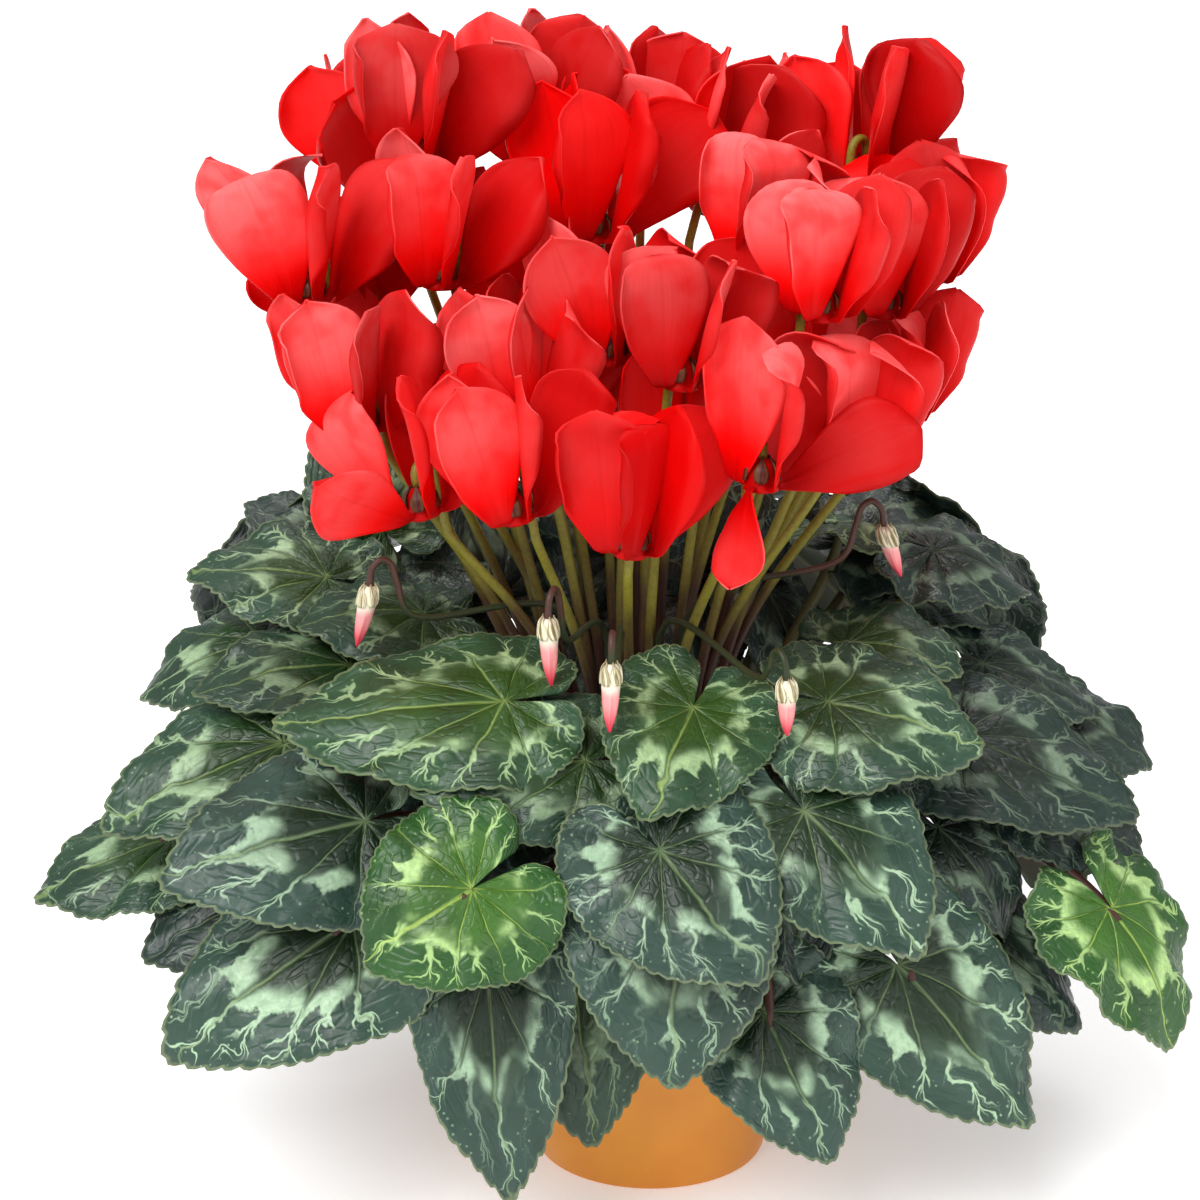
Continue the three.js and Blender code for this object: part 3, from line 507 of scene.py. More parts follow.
@dataclass(frozen=True)
class MarbledLeaf:
    """The upper face of a blade: green, with a broken silver ring, branching marks and thin veins.

    Of a pair of colours, the first is an old blade's and the second a young one's.
    """

    heart: tuple[Colour, Colour] = (rgb(26, 46, 26), rgb(62, 104, 34))
    # The outer zone's grey-blue is partly the blade's own colour, partly painted sheen.
    outer: tuple[Colour, Colour] = (rgb(50, 74, 64), rgb(42, 84, 34))
    silver: tuple[Colour, Colour] = (rgb(172, 202, 168), rgb(180, 216, 134))
    vein: tuple[Colour, Colour] = (rgb(118, 142, 98), rgb(176, 206, 96))
    mottle: Colour = rgb(22, 40, 28)
    dull_silver: Colour = rgb(112, 144, 112)
    rim: Colour = rgb(136, 150, 108)
    # Painted shade: the near-black green that blades in shade darken towards
    painted_shade: Colour = rgb(10, 17, 20)
    ring: float = 0.48
    inside: float = 0.1
    outside: float = 0.065
    roughness: float = 0.4
    vein_bend: float = 1.3
    mark_bend: float = 0.55
    branches: tuple[Place, ...] = ((0.08, 1.9, 0.17), (0.22, 1.5, 0.2))

    def make(self) -> bpy.types.Material:
        """Builds the material.

        Returns:
            The material, which reads the blade's UV map, its painted tone and its seed.
        """
        s = Shader("marbled_leaf")
        across, along = s.across_along()
        youth, silver, shade = s.attribute("tone")
        seed = s.attribute("seed")[0]
        turn = (across - 0.5) * (2 * BLADE_TURN / VEIN_STEP)
        turn = ((s.noise(55.0) - 0.5) * along).scaled(self.vein_bend, turn)
        gap = turn.folded()
        vein = self.veins(turn, gap, along)
        finer = turn.scaled(2.0, (s.noise(170.0) - 0.5) * self.mark_bend)
        spread = finer.folded()
        cell = s.vector(finer.math("ROUND"), seed * 91.0)
        lots = s.node("ShaderNodeTexWhiteNoise", {"Vector": cell}, "Color", noise_dimensions="2D")
        lots = lots.parts("ShaderNodeSeparateColor")
        blotch = self.blotches(s, turn, gap, spread, along, lots[0], seed)
        antler = self.antlers(spread, along, lots[1], lots[2])
        spots = s.node("ShaderNodeTexVoronoi", {"Vector": s.place(), "Scale": 330.0}, "Distance")
        speck = spots.rise(0.09, 0.2, 1.0, 0.0) * along.rise(0.64, 0.8, 0.0, 0.45)
        pale = blotch.most(antler * 0.85).most(speck)
        pale = (pale * silver).math("MINIMUM", 1.0)

        fine = s.noise(480.0, 3.0, 0.6)
        ground = s.mix(along.rise(0.3, 0.7), s.mix(youth, *self.heart), s.mix(youth, *self.outer))
        ground = s.mix(s.noise(42.0, 3.0).rise(0.35, 0.75, 0.0, 0.5), ground, self.mottle)
        light = s.mix(fine.rise(0.3, 0.75, 0.0, 0.45), s.mix(youth, *self.silver), self.dull_silver)
        colour = s.mix(pale, ground, light)
        colour = s.mix(vein, colour, s.mix(youth, *self.vein))
        colour = s.mix(along.rise(0.965, 0.99, 0.0, 0.55), colour, self.rim)
        # Painted shade: the tone's third channel darkens blades at the back, on the right and deep in the
        # mound
        colour = s.mix(shade * 0.8, colour, self.painted_shade)

        s.set(Base_Color=colour, Roughness=fine.rise(0.2, 0.8, self.roughness - 0.08, self.roughness + 0.1))
        s.set(Specular_IOR_Level=0.45)
        relief = self.net(s, turn, along, seed).scaled(0.5, vein * -1.2)
        s.bump(fine.scaled(0.3, relief), 0.6, 0.6)
        return s.material

    def veins(self, turn: Wire, gap: Wire, along: Wire) -> Wire:
        """Draws the thin veins that spread from the stalk, strongest in the middle of the blade."""
        vein = (gap * along).rise(0.003, 0.017, 1.0, 0.0) * along.rise(0.3, 0.75, 0.55, 0.25)
        return vein.most((abs(turn) * along).rise(0.004, 0.026, 0.6, 0.0))

    def blotches(self, s: Shader, turn: Wire, gap: Wire, spread: Wire, along: Wire, lot: Wire,
                 seed: Wire) -> Wire:
        """Draws the broken silver ring, soft inside and spiked outside, with darker gaps at the veins."""
        sector = s.vector(turn * 0.85, along * 2.2, seed * 37.0)
        patch = s.noise(1.0, vector=sector).rise(0.42, 0.56, 0.05, 1.0)
        inner = (s.noise(70.0) - 0.5).scaled(-0.3, along)
        inner = inner.rise(self.ring - self.inside - 0.07, self.ring - self.inside + 0.11)
        spike = spread.scaled(-2.0, 1.0).math("POWER", 1.6) * (lot - 0.15)
        ragged = (s.noise(380.0, 3.0, 0.6) - 0.5).scaled(-0.16, along)
        edge = spike.scaled(-0.27, ragged)
        outer = edge.rise(self.ring + self.outside - 0.03, self.ring + self.outside + 0.03, 1.0, 0.0)
        split = (gap * along).rise(0.012, 0.06, 0.2, 1.0)
        return inner * outer * (patch * split)

    def antlers(self, spread: Wire, along: Wire, start: Wire, lot: Wire) -> Wire:
        """Draws the thin pale marks that branch from the ring out towards the edge."""
        thick = along.rise(self.ring, 0.95, 0.075, 0.022)
        beam = (spread * along / thick).rise(0.35, 1.0, 1.0, 0.0)
        beam = beam * along.rise(self.ring - 0.02, self.ring + 0.08)
        marks = beam * along.rise(0.82, 0.96, 1.0, 0.0)
        for first, slope, length in self.branches:
            past = along - start.scaled(0.16, self.ring + first)
            off = abs(past.scaled(-slope, spread))
            line = (off * along).rise(0.012, 0.038, 1.0, 0.0)
            line = line * past.rise(-0.01, 0.01) * past.rise(length - 0.08, length, 1.0, 0.0)
            marks = marks.most(line)
        return marks * lot.rise(0.22, 0.4)

    def net(self, s: Shader, turn: Wire, along: Wire, seed: Wire) -> Wire:
        """Draws the small raised fields between the finest veins, for the relief alone."""
        cell = s.vector(turn * 3.4, along * 9.5, seed * 31.0)
        inputs = {"Vector": cell, "Scale": 1.0}
        return s.node("ShaderNodeTexVoronoi", inputs, "Distance", feature="DISTANCE_TO_EDGE").rise(0.0, 0.22)


@dataclass(frozen=True)
class LeafUnderside:
    """The dull underside of a blade, in two colours, with pale veins."""

    ground: tuple[Colour, Colour] = (rgb(50, 62, 44), rgb(62, 56, 46))
    vein: Colour = rgb(104, 106, 70)
    roughness: float = 0.6

    def make(self) -> bpy.types.Material:
        """Builds the material."""
        s = Shader("leaf_underside")
        across, along = s.across_along()
        turn = (across - 0.5) * 9.5
        vein = (turn.folded() * along).rise(0.01, 0.04, 0.5, 0.0)
        base = s.mix(s.noise(60.0).rise(0.35, 0.7), *self.ground)
        s.set(Base_Color=s.mix(vein, base, self.vein), Roughness=self.roughness, Specular_IOR_Level=0.3)
        s.bump(vein + s.noise(700.0) * 0.2, 0.5, 0.5)
        return s.material


@dataclass(frozen=True)
class StemSkin:
    """The skin of a stalk, which turns from one colour to another as it climbs, in streaks."""

    name: str
    low: Colour
    high: Colour
    from_height: float
    to_height: float
    speck: Colour = rgb(52, 34, 26)

    def make(self) -> bpy.types.Material:
        """Builds the material."""
        s = Shader(self.name)
        height = s.place().parts()[2]
        streak = s.noise(26.0, 3.0, 0.6)
        share = height.rise(self.from_height * MM, self.to_height * MM) + (streak - 0.5) * 1.5
        colour = s.mix(share.rise(0.1, 0.9), self.low, self.high)
        grain = s.noise(800.0)
        colour = s.mix(grain.rise(0.3, 0.8, 0.0, 0.3), colour, self.speck)
        s.set(Base_Color=colour, Roughness=0.45, Specular_IOR_Level=0.35)
        s.bump(grain, 0.25, 0.3)
        return s.material


@dataclass(frozen=True)
class PetalVelvet:
    """One side of the petals: vermilion with a paler, pinker tint that is partly their own and partly painted
    sheen, and crimson on some petals and towards the nose, partly painted shade.
    """

    name: str
    sheen_wash: float
    ground: Colour
    pink: Colour = rgb(255, 112, 112)
    streak: Colour = rgb(196, 0, 4)
    middle_line: Colour = rgb(180, 0, 6)
    crimson: Colour = rgb(156, 0, 8)
    mouth: Colour = rgb(150, 0, 10)
    roughness: float = 0.5
    painted_glow: float = 0.05

    def make(self) -> bpy.types.Material:
        """Builds the material, which reads the petal's UV map and its painted tone."""
        s = Shader(self.name)
        across, along = s.across_along()
        pale, deep, key = s.attribute("tone")
        middle = abs(across.scaled(2.0, -1.0))
        streak = s.noise(1.0, 3.0, 0.6, s.vector(across * 26.0, along * 1.6, key * 31.0))
        # Pale pink over the upper middle of the petal: partly the petal's own paler tint, partly painted
        # sheen
        sheen_wash = pale * self.sheen_wash * along.rise(0.2, 0.72) * middle.rise(0.5, 1.0, 0.85, 1.0)
        sheen_wash = sheen_wash * s.noise(75.0).rise(0.32, 0.6, 0.45, 1.0)
        colour = s.mix(sheen_wash, self.ground, self.pink)
        colour = s.mix(streak.rise(0.42, 0.75, 0.0, 0.12), colour, self.streak)
        colour = s.mix(middle.rise(0.0, 0.05, 0.14, 0.0), colour, self.middle_line)
        # Crimson on some petals and on the tube: partly random tone, partly painted shade
        colour = s.mix(deep * 0.85, colour, self.crimson)
        # Darker towards the nose: partly the petal's own darker base, partly painted shade where the petals
        # meet
        colour = s.mix(along.rise(0.0, 0.34, 0.7, 0.0), colour, self.mouth)
        s.set(Base_Color=colour, Roughness=self.roughness, Specular_IOR_Level=0.12)
        # Painted light: a faint glow in the petal's own colour that lifts its shaded parts
        s.set(Emission_Color=colour, Emission_Strength=self.painted_glow)
        s.bump(streak + s.noise(900.0) * 0.15, 0.3, 0.35)
        return s.material


@dataclass(frozen=True)
class BudSkin:
    """A bud, cream at its calyx and pink to its tip."""

    cream: Colour = rgb(244, 236, 214)
    pink: Colour = rgb(250, 158, 158)
    rose: Colour = rgb(226, 54, 78)
    crease: Colour = rgb(206, 70, 90)

    def make(self) -> bpy.types.Material:
        """Builds the material."""
        s = Shader("bud_skin")
        across, along = s.across_along()
        edge = along + (s.noise(300.0) - 0.5) * 0.08
        colour = s.mix(edge.rise(0.28, 0.5), self.cream, self.pink)
        colour = s.mix(edge.rise(0.5, 0.95), colour, self.rose)
        fold = along.scaled(1.2, across * 5.0).folded()
        colour = s.mix(fold.rise(0.0, 0.1, 0.4, 0.0) * edge.rise(0.34, 0.5), colour, self.crease)
        s.set(Base_Color=colour, Roughness=0.4, Specular_IOR_Level=0.5)
        s.bump(fold, 0.4, 0.4)
        return s.material


@dataclass(frozen=True)
class CalyxSkin:
    """Sepals, with darker ribs along them."""

    name: str
    pale: Colour
    dark: Colour

    def make(self) -> bpy.types.Material:
        """Builds the material."""
        s = Shader(self.name)
        across, along = s.across_along()
        streak = s.noise(1.0, vector=s.vector(across * 7.0, along * 1.1, s.place().parts()[0] * 40.0))
        rib = abs(across - 0.5).rise(0.04, 0.2, 0.5, 0.0)
        # Darker towards the sepal's top, by the petals; in the bloom's calyx this dark is painted shade.
        share = streak.rise(0.45, 0.6, 0.0, 0.75).most(along.rise(0.0, 0.35, 0.8, 0.0)) + rib
        colour = s.mix(share.math("MINIMUM", 1.0), self.pale, self.dark)
        s.set(Base_Color=colour, Roughness=0.5, Specular_IOR_Level=0.3)
        s.bump(streak, 0.3, 0.3)
        return s.material


@dataclass(frozen=True)
class PotPlastic:
    """Moulded ochre-orange plastic in two shades, with a faint grain and scuffs."""

    shades: tuple[Colour, Colour] = (rgb(226, 146, 44), rgb(212, 130, 36))
    scuff: Colour = rgb(232, 170, 92)

    def make(self) -> bpy.types.Material:
        """Builds the material."""
        s = Shader("pot_plastic")
        cloud = s.noise(22.0, 3.0)
        colour = s.mix(cloud.rise(0.3, 0.75), *self.shades)
        colour = s.mix(s.noise(160.0, 6.0, 0.75).rise(0.62, 0.74, 0.0, 0.3), colour, self.scuff)
        s.set(Base_Color=colour, Roughness=cloud.rise(0.3, 0.7, 0.36, 0.48), Specular_IOR_Level=0.5)
        s.bump(s.noise(1400.0), 0.12, 0.2)
        return s.material


@dataclass(frozen=True)
class PottingSoil:
    """Dark peat in two shades, with lighter fibres and crumbs."""

    peat: tuple[Colour, Colour] = (rgb(34, 24, 18), rgb(78, 58, 42))
    fibre: Colour = rgb(122, 98, 70)

    def make(self) -> bpy.types.Material:
        """Builds the material."""
        s = Shader("potting_soil")
        crumb = s.noise(420.0, 6.0, 0.7)
        colour = s.mix(crumb.rise(0.35, 0.68), *self.peat)
        colour = s.mix(s.noise(160.0, 8.0, 0.8).rise(0.62, 0.7, 0.0, 0.6), colour, self.fibre)
        s.set(Base_Color=colour, Roughness=0.95, Specular_IOR_Level=0.2)
        s.bump(crumb, 0.8, 1.2)
        return s.material


@dataclass(frozen=True)
class TuberBark:
    """The corky skin of the tuber, in two shades."""

    cork: tuple[Colour, Colour] = (rgb(72, 50, 38), rgb(128, 96, 68))

    def make(self) -> bpy.types.Material:
        """Builds the material."""
        s = Shader("tuber_bark")
        cork = s.noise(210.0, 6.0, 0.65)
        s.set(Base_Color=s.mix(cork.rise(0.3, 0.7), *self.cork), Roughness=0.85, Specular_IOR_Level=0.3)
        s.bump(cork, 0.8, 0.9)
        return s.material


def made_by(finish: object) -> bpy.types.Material:
    """Fills a field of a dataclass with the material that a finish makes."""
    return field(default_factory=finish.make)


@dataclass
class Finishes:
    """Every material of the plant, made once."""

    leaf: bpy.types.Material = made_by(MarbledLeaf())
    under: bpy.types.Material = made_by(LeafUnderside())
    petal: bpy.types.Material = made_by(PetalVelvet("petal_face", 1.0, rgb(250, 0, 0)))
    # The back faces' deeper red and faint pale pink are partly painted shade, for faces that turn inwards.
    petal_back: bpy.types.Material = made_by(PetalVelvet("petal_back", 0.16, rgb(205, 0, 3)))
    bud: bpy.types.Material = made_by(BudSkin())
    # The bloom calyx's dark red-brown is painted shade, where the petals' bases meet.
    calyx: bpy.types.Material = made_by(CalyxSkin("calyx_skin", rgb(92, 58, 34), rgb(70, 12, 16)))
    bud_calyx: bpy.types.Material = made_by(
        CalyxSkin("bud_calyx_skin", rgb(236, 230, 196), rgb(128, 112, 70)))
    pot: bpy.types.Material = made_by(PotPlastic())
    soil: bpy.types.Material = made_by(PottingSoil())
    tuber: bpy.types.Material = made_by(TuberBark())
    # Flower stems darken low down, below the leaves: partly their own purple-brown, partly painted shade.
    flower_stem: bpy.types.Material = made_by(
        StemSkin("flower_stem_skin", rgb(72, 46, 36), rgb(134, 128, 44), 165.0, 240.0))
    bud_stem: bpy.types.Material = made_by(
        StemSkin("bud_stem_skin", rgb(48, 58, 34), rgb(80, 54, 46), 204.0, 218.0))
    leaf_stalk: bpy.types.Material = made_by(
        StemSkin("leaf_stalk_skin", rgb(74, 44, 38), rgb(86, 84, 46), 110.0, 180.0))


@dataclass
class Pot:
    """The thin tapered pot with its thick rim, foot ring and drain holes."""

    base_radius: float = 40.0
    rim_radius: float = 61.0
    height: float = 108.0
    wall: float = 1.6
    rim_width: float = 3.0
    rim_depth: float = 12.0
    bead: float = 1.2
    foot_height: float = 3.0
    foot_width: float = 5.0
    foot_wall_top: float = 8.0
    recess: float = 1.5
    boss_radius: float = 14.0
    inside_bend: float = 87.0
    drain_radius: float = 3.6
    drain_ring: float = 24.0
    drain_count: int = 6
    steps: int = 128

    def wall_radius(self, height: float) -> float:
        """Gives the outer radius of the wall at a height."""
        return self.base_radius + (self.rim_radius - self.rim_width - self.base_radius) * height / self.height

    def profile(self) -> list[tuple[float, float]]:
        """Lists the radius and height of each corner, from the middle of the base round to its top."""
        low = self.height - self.rim_depth
        floor = self.foot_height + 1.0
        foot = self.base_radius - self.foot_width
        inside = self.rim_radius - self.rim_width
        bead = [(self.rim_radius - self.bead + self.bead * math.cos(a),
                 self.height - self.bead + self.bead * math.sin(a))
                for a in (0.0, math.pi / 6, math.pi / 3, math.pi / 2)]
        return [
            (0.0, 0.0), (self.boss_radius - 0.5, 0.0), (self.boss_radius, 0.5),
            (self.boss_radius, self.recess), (foot - 2.0, self.recess), (foot - 1.0, 0.2), (foot - 0.6, 0.0),
            (self.base_radius - 1.6, 0.0), (self.base_radius - 0.5, 0.4), (self.base_radius, 1.6),
            (self.wall_radius(self.foot_wall_top), self.foot_wall_top),
            (self.wall_radius(low) - 0.1, low - 0.6), (self.wall_radius(low) + 0.5, low),
            (self.rim_radius - 1.2, low + 0.4), (self.rim_radius - 0.7, low + 1.2), *bead,
            (inside + 0.6, self.height), (inside, self.height - 0.6),
            (self.wall_radius(self.inside_bend) - self.wall, self.inside_bend),
            (self.wall_radius(floor) - self.wall, floor), (0.0, floor),
        ]

    def drill(self, piece: bpy.types.Object) -> None:
        """Cuts the drain holes through the floor."""
        drills = []
        for k in range(self.drain_count):
            turn = 2 * math.pi * k / self.drain_count
            place = (self.drain_ring * math.cos(turn) * MM, self.drain_ring * math.sin(turn) * MM, 2.0 * MM)
            drills.append(Bench.start("drain_drill", bpy.ops.mesh.primitive_cylinder_add, vertices=24,
                                      radius=self.drain_radius * MM, depth=20.0 * MM, location=place))
        cutter = Bench.join("drain_drills", drills)
        Bench.modify(piece, "BOOLEAN", operation="DIFFERENCE", object=cutter)
        bpy.data.objects.remove(cutter)

    def build(self, finishes: Finishes) -> None:
        """Makes the pot and dresses it."""
        piece = Bench.turned("tapered_pot", self.profile(), self.steps)
        self.drill(piece)
        Bench.soften(piece, 32.0)
        Bench.dress(piece, finishes.pot)
        Bench.finish(piece, Slot.POT, "pot")


@dataclass
class Soil:
    """The peat that fills the pot, crumbly on top."""

    top: float = 99.0
    bend: float = 12.0
    gap: float = 0.6
    floor_gap: float = 0.3
    rings: int = 34
    steps: int = 96
    crumbs: int = 150
    crumb_size: float = 1.7
    lump: float = 0.7

    def build(self, pot: Pot, finishes: Finishes) -> None:
        """Makes the soil, rough on top, with loose crumbs pressed into it."""
        floor = pot.foot_height + 1.0 + self.floor_gap
        bend = self.top - self.bend
        edge, inner = (pot.wall_radius(height) - pot.wall - self.gap for height in (bend, floor))
        profile = [(0.0, floor), (inner, floor), (edge, bend), (edge + 0.6, self.top - 3.0)]
        for k in range(self.rings + 1):
            profile.append((edge * (1 - k / self.rings), self.top - 1.5 + 1.5 * min(k / 4, 1.0)))
        piece = Bench.turned("peat", profile, self.steps)
        places = Bench.coordinates(piece) / MM
        x, y, z = places.T
        lumps = np.sin(0.9 * x + 2.0 * np.sin(0.7 * y)) * np.sin(1.1 * y + 1.3 * np.sin(0.5 * x))
        places[:, 2] += np.where(z > self.top - 2.0, self.lump * lumps, 0.0)
        Bench.shape(piece, places)
        Bench.soften(piece, 60.0)
        piece = Bench.join("peat", [piece, *(self.crumb(k, edge) for k in range(self.crumbs))])
        Bench.dress(piece, finishes.soil)
        Bench.finish(piece, Slot.SOIL, "soil")

    def crumb(self, key: int, edge: float) -> bpy.types.Object:
        """Makes one crumb, squashed and turned by chance, and sets it into the soil."""
        turn = 2 * math.pi * chance(key)
        reach = (edge - 3.0) * math.sqrt(0.28 + 0.7 * chance(key + 900))
        size = self.crumb_size * (0.5 + chance(key + 1800))
        place = (reach * math.cos(turn) * MM, reach * math.sin(turn) * MM, (self.top + 0.2 * size) * MM)
        piece = Bench.start("crumb", bpy.ops.mesh.primitive_ico_sphere_add, subdivisions=2, radius=size * MM,
                            location=place, rotation=(turn, 3.0 * chance(key + 2700), 0.0))
        bpy.ops.transform.resize(value=(1.0, 0.8, 0.6))
        bpy.ops.object.transform_apply(location=True, rotation=True, scale=True)
        return piece


@dataclass
class Tuber:
    """The flat round tuber that every stem grows from."""

    x: float = -4.0
    y: float = 0.0
    z: float = 96.0
    radius: float = 25.0
    height: float = 13.0
    shrink: float = 0.985

    def above(self, rise: float) -> Array:
        """Gives a place straight above the tuber's middle."""
        return np.array([self.x, self.y, self.z + rise])

    def build(self, finishes: Finishes) -> None:
        """Makes the tuber with its corky lumps."""
        sphere = bpy.ops.mesh.primitive_uv_sphere_add
        piece = Bench.start("tuber", sphere, segments=64, ring_count=32, radius=1.0)
        ball = Bench.coordinates(piece)
        swell = 1.0 + 0.012 * np.sin(9 * ball[:, 0] + 3 * ball[:, 2]) * np.sin(8 * ball[:, 1] + 1.0)
        swell += 0.008 * np.sin(23 * ball[:, 0]) * np.sin(21 * ball[:, 1] + 4 * ball[:, 2])
        size = np.array([self.radius, self.radius, self.height]) * self.shrink
        Bench.shape(piece, ball * size * swell[:, None] + self.above(0.0))
        Bench.soften(piece)
        Bench.dress(piece, finishes.tuber)
        Bench.finish(piece, Slot.STEM, "crown")


@dataclass
class Opening:
    """The opening in the leaves that the flower stems rise through."""

    x: float = -8.0
    y: float = -2.0
    z: float = 186.0
    wide: float = 42.0
    deep: float = 30.0
    share: float = 0.42

    @property
    def place(self) -> Array:
        """The middle of the opening."""
        return np.array([self.x, self.y, self.z])


@dataclass
class Petal:
    """One petal's place: its turn about the bloom, opening, bow, twist, curl and size."""

    turn: float | Array
    splay: float | Array
    bow: float
    twist: float | Array
    curl: float
    size: float | Array
    key: int


@dataclass
class Bloom:
    """A nodding bloom: a short tube with its calyx, and five petals swept up from its mouth."""

    number: int
    nose: Array
    lean: float
    lean_to: float
    open: float
    scale: float
    # How pale the bloom's petals are: partly their own tint, partly painted sheen
    blush_and_sheen: float
    petal_length: float = 54.0
    petal_width: float = 33.0
    packed_width: float = 31.0
    petal_twist: float = 45.0
    petal_angles: tuple[float, ...] = (52.0, 116.0, 180.0, 244.0, 308.0)
    root_radius: float = 3.2
    root_height: float = 0.4
    bend_radius: float = 8.4
    bend_height: float = 1.0
    bend_share: float = 0.08
    tube_radius: float = 5.4
    tube_height: float = 9.0
    tube_rings: tuple[tuple[float, float], ...] = (
        (0.0, 0.9), (0.35, 0.6), (0.72, -0.4), (0.95, -1.0), (1.04, -0.6), (1.0, 0.4), (0.9, 2.4),
        (0.8, 5.0), (0.68, 7.6), (0.4, 9.0), (0.0, 9.2))
    sepals: int = 5
    sepal_thickness: float = 0.4
    rear: float = 40.0
    thickness: float = 0.55
    outlines: tuple[Place, ...] = (
        (0.0, 0.12, 0.12), (0.08, 0.22, 0.2), (0.22, 0.48, 0.43), (0.4, 0.79, 0.72), (0.55, 0.98, 0.93),
        (0.7, 0.98, 1.06), (0.83, 0.76, 0.97), (0.93, 0.4, 0.62), (1.0, 0.02, 0.05))
    loose_from: float = 45.0
    hanging_from: float = 120.0
    hanging_twist: float = 80.0
    fuller: float = 0.18
    fuller_behind: float = 20.0
    uneven: float = 0.14
    groove: float = 0.4
    sway: float = 7.0
    turned_share: float = 0.4
    turned_below: float = 315.0
    turned_from: float = 0.72
    turned_radius: float = 8.0
    tip_turn: float = 7.0
    rolled: float = 0.52
    roll_radius: float = 3.0
    across_petal: int = 16
    along_petal: int = 24
    splay_changes: tuple[float, ...] = (0, -5, 5, -10, 10, 16, 22, 30)
    turn_changes: tuple[float, ...] = (0, -7, 7, -14, 14, -21, 21)
    twist_changes: tuple[float, ...] = (0, 12, -12)
    size_changes: tuple[float, ...] = (1, 0.88, 0.76)

    def __post_init__(self) -> None:
        """Works out the bloom's axes."""
        lean, to = self.lean * DEGREE, self.lean_to * DEGREE
        self.axis = np.array([math.cos(to) * math.sin(lean), math.sin(to) * math.sin(lean), math.cos(lean)])
        opening = Opening()
        inward = math.atan2(opening.y - self.nose[1], opening.x - self.nose[0])
        side = unit(np.array([math.cos(inward), -1.0 if self.nose[1] > self.rear else 1.0, 0.0]))
        self.side = unit(side - self.axis * (side @ self.axis))
        self.other = np.cross(self.axis, self.side)

    def place(self, turn: float | Array, radius: float | Array, height: float | Array) -> Array:
        """Gives places by their turn about the axis in radians, distance from it and height over the nose."""
        turn = np.asarray(turn)[..., None]
        way = self.side * np.cos(turn) + self.other * np.sin(turn)
        return self.nose + way * np.asarray(radius)[..., None] + self.axis * np.asarray(height)[..., None]

    def petals(self) -> list[Petal]:
        """Lists the five petals before they are moved clear of their neighbours."""
        listed = []
        for k, angle in enumerate(self.petal_angles):
            key = (self.number - 1) * len(self.petal_angles) + k
            splay, size = LOOSE_PETALS.get((self.number, k + 1), (self.open, 1.0))
            listed.append(Petal(
                turn=angle + 8 * (chance(key) - 0.5),
                splay=splay + 8 * (chance(key + 500) - 0.5),
                bow=14 * chance(key + 1000) - 4,
                twist=18 * chance(key + 1500),
                curl=5 * (chance(key + 2000) - 0.35),
                size=size,
                key=key,
            ))
        return listed

    def surface(self, petal: Petal, along: Array, half: Array, across: Array, lift: Array | float = 0.0,
                sway: Array | float = 0.0) -> Array:
        """Places points of a petal.

        Args:
            petal: The petal, whose turn, splay, twist and size may be columns of values to try.
            along: The share of the petal's length at each point.
            half: Half of the petal's width there, as a share of its full width.
            across: The point's place across it, from -1 to 1.
            lift: How far the point stands off the petal's middle surface.
            sway: How far the point is moved across it.

        Returns:
            The points.
        """
        length = self.petal_length * self.scale * petal.size
        bent = (petal.splay + petal.bow * along) * DEGREE
        start = smoothstep(-0.001, self.bend_share, along)
        run = np.maximum(along - self.bend_share, 0.0) * length
        radius = self.root_radius + (self.bend_radius - self.root_radius) * start + run * np.sin(bent)
        height = self.root_height + (self.bend_height - self.root_height) * start + run * np.cos(bent)
        turn = np.asarray(petal.turn * DEGREE)[..., None]
        radial = self.side * np.cos(turn) + self.other * np.sin(turn)
        sideways = self.other * np.cos(turn) - self.side * np.sin(turn)
        tangent = radial * np.sin(bent)[..., None] + self.axis * np.cos(bent)[..., None]
        twist = ((self.petal_twist + petal.twist * along) * DEGREE)[..., None]
        crossways = sideways * np.cos(twist) + np.cross(tangent, sideways) * np.sin(twist)
        face = np.cross(crossways, tangent)
        middle = self.nose + radial * radius[..., None] + self.axis * height[..., None]
        reach = self.petal_width * self.scale * petal.size * half * across + sway
        lift = petal.curl * along * np.abs(across) + lift
        return middle + crossways * reach[..., None] + face * lift[..., None]

    def settle(self, petal: Petal, corners: Array) -> Petal:
        """Finds the way a petal was moved clear of its neighbours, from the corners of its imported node.

        Args:
            petal: The petal before it is moved.
            corners: The corners of the bloom's node.

        Returns:
            The petal as it was placed.
        """
        tries = product(self.splay_changes, self.turn_changes, self.twist_changes, self.size_changes)
        splay, turn, twist, size = (column[:, None] for column in columns(tries))
        tried = {"splay": petal.splay + splay, "turn": petal.turn + turn, "twist": petal.twist + twist,
                 "size": petal.size * size}
        along = np.array([[0.47, 0.47, 0.8, 0.8, 1.0]])
        half = np.array([[0.4, 0.4, 0.43, 0.43, 0.0]]) * self.packed_width / self.petal_width
        across = np.array([[-1.0, 1.0, -1.0, 1.0, 0.0]])
        points = self.surface(replace(petal, **tried), along, half, across)
        best = int(nearest_gap(points, corners).mean(-1).argmin())
        return replace(petal, **{name: float(values[best, 0]) for name, values in tried.items()})

